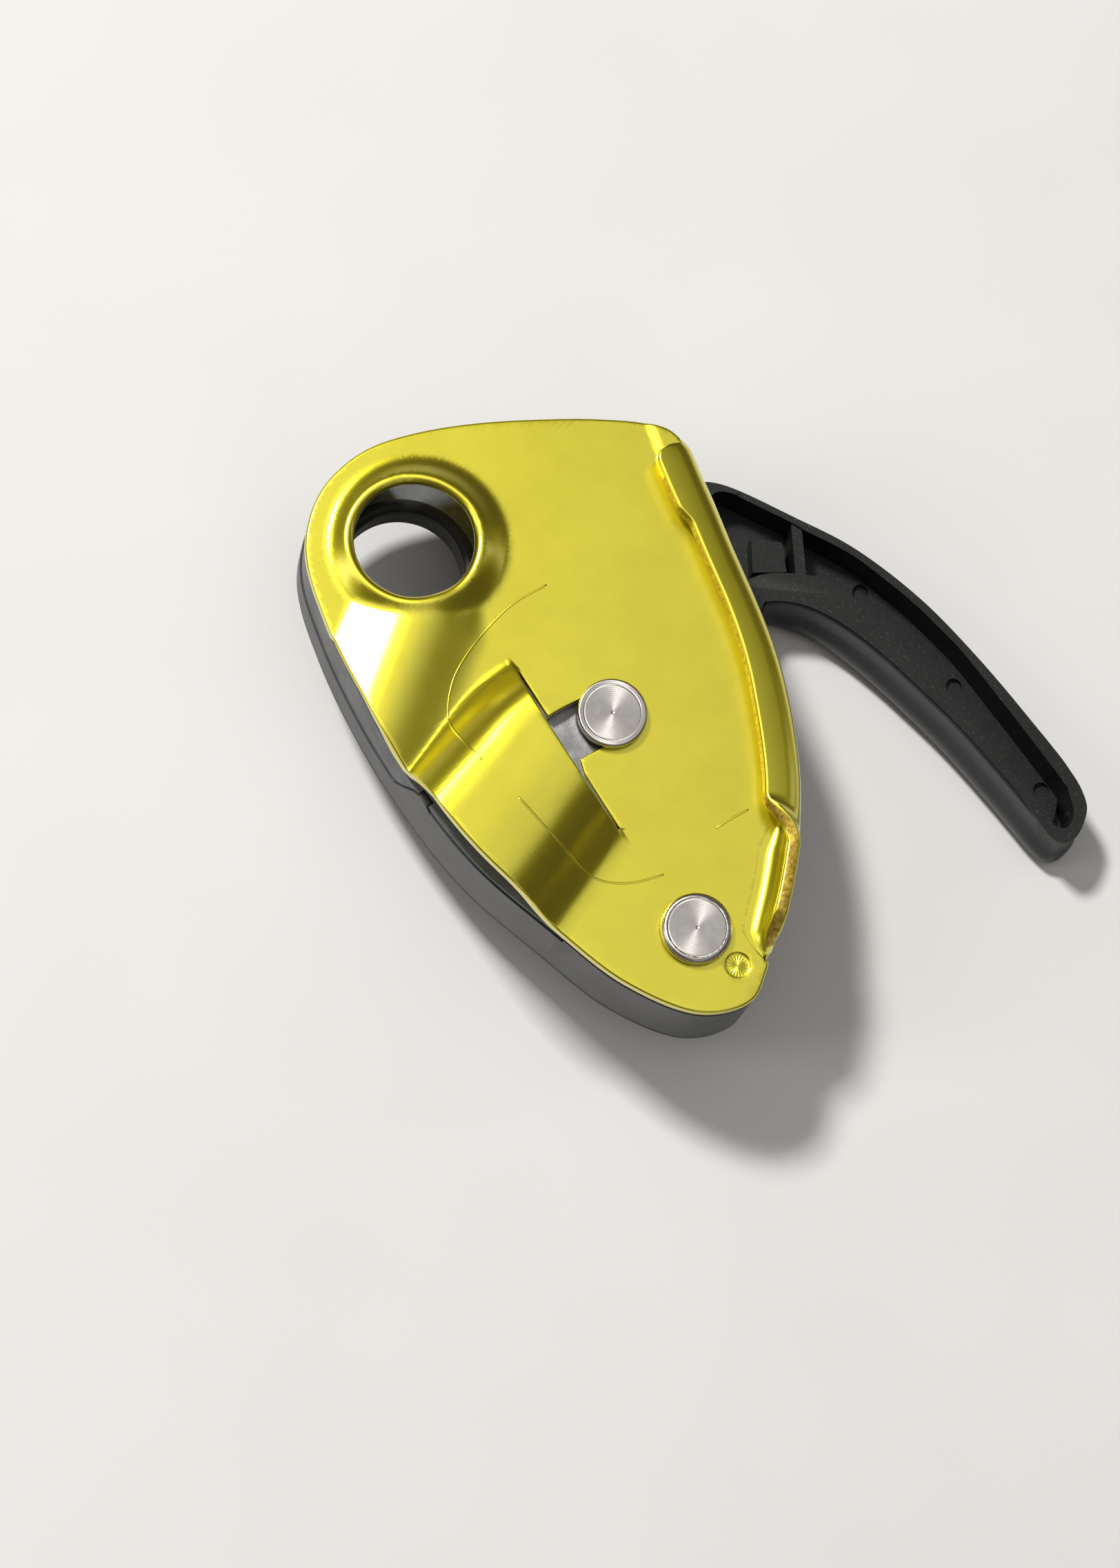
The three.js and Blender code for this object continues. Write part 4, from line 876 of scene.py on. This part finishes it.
def press(bm):
    """Lifts the net into the pressed shape; returns the direction out of it at each corner."""
    normals = {}
    for v in bm.verts:
        normals[v] = sheet_normal(v.co.x, v.co.y)
        v.co.z = SHEET_TOP + sheet_height(v.co.x, v.co.y)
        v.co.x -= HUMP_PULL * hump_height(v.co.x, v.co.y) / HUMP_HEIGHT * smooth(*HUMP_PULL_SPAN, v.co.x)
    return normals


def cut_sides(edges, normals):
    """The direction out of the sheet, along its surface, at each corner of its cut edges."""
    sides = {}
    for e in edges:
        side = (e.verts[1].co - e.verts[0].co).cross(normals[e.verts[0]])
        if side.dot(e.link_faces[0].calc_center_median() - e.verts[0].co) > 0:
            side = -side
        for v in e.verts:
            sides[v] = sides.get(v, Vector()) + side
    return {v: side.normalized() for v, side in sides.items()}


def rim_radii(sides, normals):
    """The rim's radius at each corner of the cut edges; round a hole its side points to the centre."""
    rims = {}
    for v in sides:
        rims[v] = SLOT_RIM if -11 < v.co.x < 5 and -17.5 < v.co.y < 15 else RIM
        for centre, radius, rim, near, steps in SHEET_HOLES:
            inward = Vector((centre[0] - v.co.x, centre[1] - v.co.y, 0))
            if inward.length < near:
                inward -= normals[v] * inward.dot(normals[v])
                sides[v] = inward.normalized()
                rims[v] = rim
    return rims


def close_rim(bm, edges, sides, rims, normals):
    """Carries the cut edges round their rims from the sheet's top to its underside."""
    base = {v: v.co.copy() for v in sides}
    quarter = [(math.sin(math.radians(a)), 1 - math.cos(math.radians(a))) for a in (22.5, 45, 67.5, 90)]
    levels = [(out, down, True) for out, down in quarter]
    levels += [(out, down, False) for out, down in quarter[::-1]] + [(0, 0, False)]
    roots = {v: v for v in sides}
    for out, down, upper in levels:
        grown = bmesh.ops.extrude_edge_only(bm, edges=edges)["geom"]
        edges = only(bmesh.types.BMEdge, grown)
        fresh = set(edges)
        grown_roots = {}
        for v in only(bmesh.types.BMVert, grown):
            old = next(e.other_vert(v) for e in v.link_edges if e.other_vert(v) in roots and e not in fresh)
            root = roots[old]
            rim = min(rims[root], SHEET / 2 - 0.01)
            depth = down * rim if upper else SHEET - down * rim
            v.co = base[root] + sides[root] * (out * rim) - normals[root] * depth
            grown_roots[v] = root
        roots = grown_roots


def pressed_sheet():
    """The net pressed into shape, given its thickness and its rounded rims."""
    bm = sheet_net()
    normals = press(bm)
    edges = [e for e in bm.edges if e.is_boundary]
    sides = cut_sides(edges, normals)
    rims = rim_radii(sides, normals)
    under = bmesh.ops.duplicate(bm, geom=everything(bm))
    for v, normal in normals.items():
        under["vert_map"][v].co = v.co - normal * SHEET
    bmesh.ops.reverse_faces(bm, faces=only(bmesh.types.BMFace, under["geom"]))
    close_rim(bm, edges, sides, rims, normals)
    for v in bm.verts:
        v.co.x = max(v.co.x, LEFT_LIMIT)
    bmesh.ops.remove_doubles(bm, verts=bm.verts, dist=0.002)
    bmesh.ops.recalc_face_normals(bm, faces=bm.faces)
    return from_bmesh("sheet", bm)


GUIDE_RUNS = [
    [(3.8, 21.3), (-2, 21.7), (-7.5, 20.7), (-12.6, 19), (-16.8, 16.6), (-20.2, 12.6), (-21.2, 7.7),
     (-21, 4.2)],
    [(-19.9, -3.1), (-18.8, -10.8), (-16.5, -18), (-12.8, -21.6), (-7.6, -23.6)],
    [(2.7, -22.3), (5.6, -22.4), (8.4, -22.7)],
]


def guide_line(run):
    """A hairline that the press raises, round the way the line takes."""
    points = even(open_curve(run, 8), 0.4)
    lefts = sideways(points)
    last = len(points)

    def corner(k, row):
        share = row / 2 - 1
        place = points[k] + lefts[k] * (share * GUIDE_HALF)
        rise = GUIDE_RISE * (1 - share * share) * smooth(-1, 2, k) * (1 - smooth(last - 3, last, k))
        return place.x, place.y, SHEET_TOP + sheet_height(place.x, place.y) + rise - 0.02

    obj = strip(len(points), 5, corner, Vector((0, 0, 1)))
    obj.data.materials.append(ANODISED)
    return thickened(obj, 0.3, -1)


def dimple_cup():
    """The punched cup with the fine marks that the punch leaves round its floor."""
    profile = [(0, -1.7), (2.1, -1.7), (2.1, -0.5), (DIMPLE_RADIUS, -0.62), (1.55, -0.66), (1.1, -0.64),
               (0.5, -0.6), (0, -0.6)]
    cup = turned([(radius, SHEET_TOP + drop) for radius, drop in profile], DIMPLE)
    for v in cup.data.vertices:
        dx, dy = v.co.x - DIMPLE[0], v.co.y - DIMPLE[1]
        if v.co.z > SHEET_TOP - 1.2 and 0.4 < math.hypot(dx, dy) < 1.5:
            v.co.z += 0.03 * math.cos(19 * math.atan2(dy, dx))
    cup.data.materials.append(ANODISED)
    return cup


def side_plate():
    sheet = pressed_sheet()
    sheet.data.materials.append(ANODISED)
    sheet.data.materials.append(WORN)
    parts = [sheet, margin_sheet(), dimple_cup()] + [guide_line(run) for run in GUIDE_RUNS]
    with bpy.context.temp_override(active_object=sheet, selected_editable_objects=parts,
                                   selected_objects=parts):
        bpy.ops.object.join()
    finished(sheet, "pressed_side_plate", "side_plate", "moving_side_plate", "anodised", ANODISED, WORN,
             keep_flat=False)


side_plate()


# Turned and screwed pieces

def with_turning(obj, centre):
    """A UV map whose first axis runs round the piece's own centre, for the sheen of a turned face."""
    mesh = obj.data
    layer = mesh.uv_layers.new(name="turning")
    for polygon in mesh.polygons:
        shares = []
        for loop in polygon.loop_indices:
            co = mesh.vertices[mesh.loops[loop].vertex_index].co
            dx, dy = co.x - centre[0], co.y - centre[1]
            shares.append(math.atan2(dy, dx) / (2 * math.pi) if math.hypot(dx, dy) > 0.001 else None)
        known = [u for u in shares if u is not None]
        if known and max(known) - min(known) > 0.5:
            shares = [u + 1 if u is not None and u < 0 else u for u in shares]
            known = [u for u in shares if u is not None]
        middle = sum(known) / len(known) if known else 0
        for loop, u in zip(polygon.loop_indices, shares):
            co = mesh.vertices[mesh.loops[loop].vertex_index].co
            radius = math.hypot(co.x - centre[0], co.y - centre[1])
            layer.data[loop].uv = (middle if u is None else u, radius)
    return obj


def turned_piece(profile, centre, name, body, solid, material):
    obj = with_turning(turned(profile, centre, 128), centre)
    finished(obj, name, body, solid, "turned_steel", material)


def head_profile(low, radius, high, edge):
    """A turned head: a flat top with a shallow ring, and the pip that the lathe leaves in the middle."""
    flat = radius - edge
    corner = [(flat + edge * math.sin(math.radians(a)), high - edge + edge * math.cos(math.radians(a)))
              for a in (90, 72, 54, 36, 18, 0)]
    shares = [(0.86, 0), (0.84, 0), (0.83, 0.02), (0.81, 0.02), (0.8, 0), (0.78, 0)]
    ring_marks = [(radius * share, high - drop) for share, drop in shares]
    pip = [(0.4, high), (0.28, high), (0.22, high - 0.01), (0.14, high - 0.06), (0, high - 0.07)]
    return [(radius, low)] + corner + [(flat - 0.06, high)] + ring_marks + pip


def axle():
    seat = SHEET_TOP + 0.4
    profile = [(0, 0), (4.6, 0), (5, 0.4), (5, 2), (3.6, 2), (3.6, SHEET_LOW - 0.4), (3.4, SHEET_LOW - 0.4),
               (3.4, seat)] + head_profile(seat, 5.1, 33.56, 0.3)
    turned_piece(profile, (0, 0), "cam_axle_turned", "cam", "cam_axle", TURNED_AXLE)


def rivet():
    seat = SHEET_TOP + 0.4
    profile = [(0, 12.7), (4.7, 12.7), (5.2, 13.2), (5.2, 14.15), (3, 14.15), (3, seat)]
    profile += head_profile(seat, 5.2, 33.76, 0.7)
    turned_piece(profile, PIVOT, "pivot_rivet_turned", "frame", "pivot_rivet", TURNED_RIVET)


def bushes():
    pivot = turned([(PIVOT_BORE, 29.5), (3.9, 29.5), (4, 29.6), (4, 31.85), (3.9, 31.95),
                    (PIVOT_BORE, 31.95), (PIVOT_BORE, 29.5)], PIVOT)
    finished(pivot, "pivot_bush_ring", "side_plate", "pivot_bush", "bronze", BRONZE)
    flanged = turned([(AXLE_BORE, 14.3), (5.3, 14.3), (5.3, 17.45), (7.1, 17.45), (7.2, 17.55), (7.2, 17.9),
                      (7.1, 18), (4.1, 18), (AXLE_BORE, 17.8), (AXLE_BORE, 14.3)])
    finished(flanged, "axle_bush_flanged", "frame", "axle_bush", "bronze", BRONZE)


def attachment_ring():
    """A moulded lining with a lip that rolls over the plate; the profile goes up its outside."""
    inner, wall = HOLE_RADIUS, HOLE_RADIUS + 1.2
    profile = [(inner, PLATE_LOW), (wall, PLATE_LOW), (wall, 17.6), (wall + 0.9, 17.6), (wall + 0.75, 17.95),
               (wall + 0.3, 18.35), (wall - 0.2, 18.48), (inner + 0.4, 18.3), (inner + 0.08, 17.95),
               (inner, 17.5), (inner, PLATE_LOW)]
    finished(turned(profile, ATTACHMENT), "attachment_ring", "frame", "attachment_lining", "cover",
             COVER_NYLON)


def cover_screws():
    profile = [(0, 12.05), (2.2, 11.95), (2.5, 12.05), (2.6, 12.25), (2.6, 13.15), (1.3, 13.15),
               (1.3, 16.8), (1.1, 17), (0, 17)]
    for i, place in enumerate(SCREWS):
        screw = cut(turned(profile, place, 64), block(6.2, 0.8, 10.95, 12.45, place))
        finished(softened(screw, 0.06), f"cover_screw_{i + 1}_slotted", "frame", f"cover_screw_{i + 1}",
                 "turned_steel", PLAIN_STEEL)


# The closed side: plate, guard, housing and back cover

def outline_run(first, last):
    start, end = round(first * OUTLINE_STEPS), round(last * OUTLINE_STEPS)
    return even([OUTLINE[k % OUTLINE_STEPS] for k in range(start, end + 1)], 0.9)


WHOLE_RUN = outline_run(0, 1)[:-1]
GUARD_RUN = outline_run(0.5, 1.04)


def curtain(raised):
    """Everything above the line where the housing laps over the guard, seen from the side."""
    low, lap, top = PLATE_TOP + 3.2 + raised, GUARD_TOP + raised, GUARD_TOP + 2
    line = [(-100, top), (-100, lap), (raised - 23, lap), (raised - 23, GUARD_TOP - 1.1 + raised),
            (3.4, GUARD_TOP - 1.1 + raised), (4.5, lap), (6, lap)]
    line += [(mix(6, 12, k / 8), lap - (lap - low) * smooth(0, 8, k)) for k in range(1, 9)]
    line += [(100, low), (100, top)]
    return swept([(-BODY_WIDTH, y, z) for y, z in line], (2 * BODY_WIDTH, 0, 0))


def guard():
    low = PLATE_TOP + FIT
    wall = band(GUARD_RUN, 1.3, 2.8, low, GUARD_TOP)
    face = common(band(GUARD_RUN, 0.3, 2.0, low, GUARD_TOP), curtain(FIT))
    finished(softened(joined(wall, face), 0.25), "line_guard_wall", "frame", "line_guard", "guard",
             GUARD_FINISH)


def side_housing():
    wall = band(GUARD_RUN, 0, 2, 14.15, GUARD_TOP + 0.15)
    cut(wall, band(GUARD_RUN, 1, 3, PLATE_TOP, GUARD_TOP + 1), curtain(0))
    finished(softened(wall, 0.3, 3), "side_housing", "frame", "housing", "housing", HOUSING_NYLON)


def drilled(plate, low, high, holes):
    """Cuts upright holes, each given by its radius, centre, steps and, where it isn't through, its ends."""
    return cut(plate, *[cylinder(radius, *(ends or (low, high)), centre, steps)
                        for radius, centre, steps, *ends in holes])


def fixed_plate():
    lefts = sideways(WHOLE_RUN, True)
    shares = [k / len(WHOLE_RUN) for k in range(len(WHOLE_RUN))]
    inset = [2.3 if share > 0.47 or share < 0.06 else 0.6 for share in shares]
    plate = prism([p + left * d for p, left, d in zip(WHOLE_RUN, lefts, inset)], PLATE_LOW, PLATE_TOP)
    holes = [(HOLE_RADIUS + 1.5, ATTACHMENT, 96), (PIVOT_BORE, PIVOT, 48), (5.6, (0, 0), 96),
             (PIN_BORE, STOP_PIN, 32), (KNOB_BORE, KNOB, 32)]
    holes += [(SCREW_BORE, place, 32) for place in SCREWS]
    drilled(plate, PLATE_LOW - 1, PLATE_TOP + 1, holes)
    finished(softened(plate, 0.35), "fixed_plate_sheet", "frame", "fixed_side_plate", "plate_metal",
             PLATE_METAL)


def back_cover():
    plate = prism(shifted(WHOLE_RUN, 0.3, True), COVER_LOW, COVER_TOP)
    low, high = COVER_LOW - 1, COVER_TOP + 1
    holes = [(HOLE_RADIUS + 0.3, ATTACHMENT, 96), (AXLE_BORE, (0, 0), 96), (KNOB_BORE, KNOB, 32),
             (4.7, KNOB, 48, 13, high), (5.5, PIVOT, 48, 12.4, high)]
    holes += [(SCREW_BORE, place, 32) for place in SCREWS]
    holes += [(2.9, place, 48, low, 13.3) for place in SCREWS]
    drilled(plate, low, high, holes)
    finished(softened(plate, 0.45, 3), "back_cover_shell", "frame", "back_cover", "cover", COVER_NYLON)


# The line's path inside: shoe, wear sheet, cam and springs

def friction_shoe():
    left, right = around(33.1, 240), around(32.067, 286)
    points = arc((0, 0), 30, 242, 284, 24) + [right] + arc(PIVOT, 6.2, 320, 230, 20) + [left]
    shoe = cut(prism(points, 17.6, 29.1), cylinder(PIVOT_BORE, 17, 30, PIVOT, 48))
    finished(softened(shoe, 0.6, 3), "friction_shoe_block", "frame", "friction_shoe", "turned_steel",
             PLAIN_STEEL)


def wear_sheet():
    points = arc((0, 0), 29.4, 212, 310, 48) + arc((0, 0), 7.8, 310, 212, 36)
    sheet = common(prism(points, 17.45, 18.05), prism(shifted(WHOLE_RUN, 3.4, True), 17, 19))
    finished(softened(sheet, 0.12), "wear_sheet_thin", "frame", "wear_sheet", "turned_steel", PLAIN_STEEL)


def stop_pin():
    pin = turned([(0, 14.3), (1.6, 14.3), (1.6, 23), (1.3, 23.3), (0, 23.3)], STOP_PIN, 48)
    finished(pin, "stop_pin", "frame", "cam_stop_pin", "turned_steel", PLAIN_STEEL)


def cam_wheel():
    middle = (CAM_LOW + CAM_TOP) / 2
    half, reach = 5.6, 22
    groove = [(reach, middle - half)]
    groove += [(reach + half * math.cos(math.radians(a)), middle + half * math.sin(math.radians(a)))
               for a in range(264, 89, -6)]
    groove += [(37, middle + half), (37, middle - half), (reach, middle - half)]
    wheel = turned([(0, CAM_LOW), (18.2, CAM_LOW), (18.5, CAM_LOW + 0.3), (18.5, CAM_TOP - 0.3),
                    (18.2, CAM_TOP), (6.1, CAM_TOP), (5.1, CAM_TOP + 0.3), (0, CAM_TOP + 0.3)])
    cut(wheel, turned(groove))
    root, tip = 12.9, 22.6
    corners = [(root, -78), (21.4, -63), (22.3, -58.5), (tip, -55.5), (tip, -49), (tip, -43), (21.7, -37),
               (21, -33), (root, -3), (root / 2, -48)]
    nose = prism([around(*corner) for corner in corners], CAM_LOW + 0.3, CAM_TOP - 0.3)
    joined(wheel, softened(nose, 0.6, 3))
    pin_half = math.degrees(PIN_BORE / STOP_PIN_REACH)
    pin_slot = sector(11.5, 15.3, STOP_PIN_ANGLE - pin_half, STOP_PIN_ANGLE + CAM_TRAVEL + pin_half,
                      CAM_LOW - 1, 23.6)
    places = [tuple(around(tip, -55.5 + i * 3.75)) for i in range(4)]
    notches = [cylinder(0.45, CAM_LOW, CAM_TOP, place, 16) for place in places]
    cut(wheel, cylinder(AXLE_BORE, CAM_LOW - 1, CAM_TOP + 1), pin_slot,
        ring(5.8, 9.4, CAM_LOW - 1, CAM_LOW + 8.8), *notches)
    finished(wheel, "cam_wheel", "cam", "cam", "cast_steel", CAST_STEEL)


def driver():
    low, high = 7.6, 12.1
    inner, outer = 7.6, 13.2
    disc = cylinder(outer - 1, low + 1, high - 1)
    cut(disc, sector(inner, outer, 189, 304, low, high), sector(inner, outer, 316, 536, low, high),
        block(6, 6, low, high))
    finished(softened(disc, 0.2), "cam_driver_disc", "cam", "cam_driver", "cast_steel", CAST_STEEL)


def coil(radius, wire, pitch, turns, base, centre=(0, 0), steps=28, sides=10):
    """Wire wound upwards by a spin that also rises."""
    bm = bmesh.new()
    made = bmesh.ops.create_circle(bm, cap_ends=True, segments=sides, radius=wire / 2)
    bmesh.ops.rotate(bm, cent=(0, 0, 0), matrix=Matrix.Rotation(math.pi / 2, 3, "X"), verts=made["verts"])
    bmesh.ops.translate(bm, vec=(centre[0] + radius, centre[1], base + wire / 2), verts=made["verts"])
    count = math.ceil(turns * steps)
    bmesh.ops.spin(bm, geom=everything(bm), cent=(*centre, 0), axis=(0, 0, 1),
                   dvec=(0, 0, pitch * turns / count), angle=2 * math.pi * turns, steps=count)
    bmesh.ops.recalc_face_normals(bm, faces=bm.faces)
    return from_bmesh("coil", bm)


def springs():
    coils = [
        ("cam_spring", "cam", coil(7.6, 1.1, 1.8, 4, 18.75)),
        ("handle_spring", "handle", coil(15.4, 1.0, 1.75, 2.5, 5.78)),
        ("pawl_spring", "handle", coil(1, 0.4, 0.47, 4.45, 1.33, PAWL, 20, 8)),
    ]
    for solid, body, obj in coils:
        finished(obj, f"{solid}_coil", body, solid, "spring_steel", SPRING_STEEL, keep_flat=False)


def pawl():
    blade = block(3.4, 2, 6.2, 10.6, PAWL, PAWL_ANGLE)
    finished(softened(blade, 0.2), "drive_pawl_blade", "pawl", "drive_pawl", "cast_steel", CAST_STEEL)


# The release handle

handle_outer = open_curve(placed(HANDLE_OUTER_SHARES, HANDLE_REACH, HANDLE_REACH), 10)
handle_inner = open_curve(placed(HANDLE_INNER_SHARES, HANDLE_REACH, HANDLE_REACH), 10)
GRIP_WALL = 1.5
FLOOR = 4.2
GRIP_START = [(57.3, -48.6), (56.5, -50.4), (54.9, -51.9), (52.6, -52.6), (50.6, -52.5), (49.2, -51.4),
              (48.6, -49.4), (48.2, -46.4)]
RIM_TIP = [(58.45, -44.8), (58.1, -46.9), (57.2, -49.2), (55.4, -50.8), (53.2, -51.9), (51.3, -51.9),
           (50.1, -50.9), (49.65, -49)]
OUTER_RIM_LINE = [(36.5, 21.5), (39.2, 22.4), (41.2, 21.2), (42.6, 18.8), (46.2, 12.3), (47.4, 9.7),
                  (49.3, 6.3), (51.3, 2.1), (52.9, -3.1), (54.3, -8.3), (55.3, -13.9), (56.0, -19.2),
                  (56.3, -27), (56.5, -35), (56.6, -42.5)]
TIP_RIM_LINE = [(56.6, -45), (55.3, -48.2), (53.8, -49.7), (52.4, -49.9), (51.4, -48.9)]
INNER_RIM_LINE = [(51.2, -46), (51.2, -40), (50.9, -33), (50.5, -26), (49.9, -19.7), (49.0, -15.2),
                  (48.2, -10.6), (47.6, -7.1), (46.9, -3.8), (46.1, -0.6), (45.0, 2.3), (43.5, 3.9),
                  (41.6, 5.5), (39.2, 7.2), (36.5, 8.3), (33, 9)]
PIPS = ((50.9, -1.8), (54.0, -21.9), (55.3, -42.6))
TIP_POCKET = [(58, -44.2), (54.4, -47.2), (51.6, -48.6), (52.4, -50.6), (54.2, -50.4), (57.2, -46.6)]
SPUR = [(40.6, 13.9), (44.2, 10.8), (42.0, 6.6), (37.6, 9.4)]
RIB_ENDS = (Vector((47.0, 11.6)), Vector((42.6, 4.4)))
GRIP_SECTION = [(-GRIP_WALL, 10.9), (-1.42, 10.3), (-1.3, 9.0), (-1.08, 7.6), (-0.65, 6.2), (-0.18, 4.8),
                (-0.04, 3.5), (-0.2, 2.1), (-0.75, 0.85), (-GRIP_WALL, 0.45)]
grip_line = open_curve(GRIP_START, 8)[:-1] + handle_inner[40:101]


def lever_edge():
    """The lever's outline, set in where the grip lies round its tip and along its inner edge."""
    inset = even(shifted(handle_inner[40:101], -(GRIP_WALL + FIT)), 0.35)
    return handle_outer[:98] + open_curve(RIM_TIP, 6) + inset + handle_inner[102:]


def rib(first, second, width):
    direction = (second - first).normalized()
    across = Vector((-direction.y, direction.x)) * (width / 2)
    start, end = first - direction, second + direction
    return [start - across, end - across, end + across, start + across]


def lever():
    arm = prism(lever_edge(), FIT, HANDLE_TOP)
    hub = turned([(0, 0), (17.4, 0), (18.2, 0.8), (18.2, HANDLE_TOP - FIT), (0, HANDLE_TOP - FIT)])
    edge = [p for line in (OUTER_RIM_LINE, TIP_RIM_LINE, INNER_RIM_LINE) for p in open_curve(line, 4)]
    pocket = prism(edge, FLOOR, HANDLE_TOP + 1)
    cut(pocket, prism(rib(*RIB_ENDS, 1.6), FLOOR - 1, HANDLE_TOP - 0.5), cylinder(20.4, 0, 20))
    deep = common(prism(TIP_POCKET, 2.2, FLOOR + 1), prism(edge, 0, HANDLE_TOP))
    marks = [cylinder(1.25, FLOOR - 0.9, FLOOR + 1, place, 40) for place in PIPS]
    body = cut(joined(arm, hub), pocket, deep, *marks)
    cut(body, cylinder(12.6, HANDLE_TOP - 3.4, HANDLE_TOP + 1), cylinder(AXLE_BORE, -1, HANDLE_TOP),
        cylinder(5.3, -1, 2.3), ring(14.4, 16.4, HANDLE_TOP - 6, HANDLE_TOP + 1),
        block(4, 2.6, 3.6, HANDLE_TOP, PAWL, PAWL_ANGLE), cylinder(1.75, 1, HANDLE_TOP, PAWL, 40))
    joined(body, prism(SPUR, FLOOR - 1, 8.4))
    finished(softened(body, 0.4, 3), "release_handle_lever", "handle", "handle_lever", "handle",
             HANDLE_NYLON)


def grip():
    """The smooth bulged strip that the fingers pull on, wrapped round the end of the lever."""
    run = even(grip_line, 0.5)
    lefts = sideways(run)
    section = open_curve(GRIP_SECTION, 4)

    def corner(k, row):
        fade = smooth(-1, 6, k) * (1 - smooth(len(run) - 12, len(run) + 1, k))
        point = run[k] + lefts[k] * mix(-GRIP_WALL * 0.9, section[row].x, fade)
        lowered = 2.4 * (1 - smooth(14, 34, k)) * section[row].y / 10.9
        return point.x, point.y, section[row].y - lowered

    obj = thickened(strip(len(run), len(section), corner, Vector((*lefts[0], 0))), 0.8, -1)
    finished(obj, "handle_grip_strip", "handle", "handle_grip", "grip", GRIP_NYLON, keep_flat=False)


def selector():
    knob = turned([(0, 7.8), (5.7, 7.8), (6.2, 8.3), (6.2, 11.4), (2, 11.4), (2, 17), (0, 17)], KNOB)
    joined(knob, softened(block(11.4, 2.4, 5.8, 8.3, KNOB), 0.5, 3))
    cut(knob, *[cylinder(0.7, 7, 12, tuple(around(6.5, a, KNOB)), 16) for a in range(15, 360, 30)])
    finished(softened(knob, 0.18), "selector_knob_ribbed", "selector", "selector_knob", "cover",
             COVER_NYLON)
    disc = cut(cylinder(3.4, 13.3, 14, (KNOB[0] + 1, KNOB[1]), 64), cylinder(KNOB_BORE, 12, 15, KNOB, 48))
    finished(softened(disc, 0.1), "selector_disc", "selector", "selector_eccentric", "cast_steel",
             CAST_STEEL)


axle()
rivet()
bushes()
attachment_ring()
cover_screws()
guard()
side_housing()
fixed_plate()
back_cover()
friction_shoe()
wear_sheet()
stop_pin()
cam_wheel()
driver()
springs()
pawl()
lever()
grip()
selector()
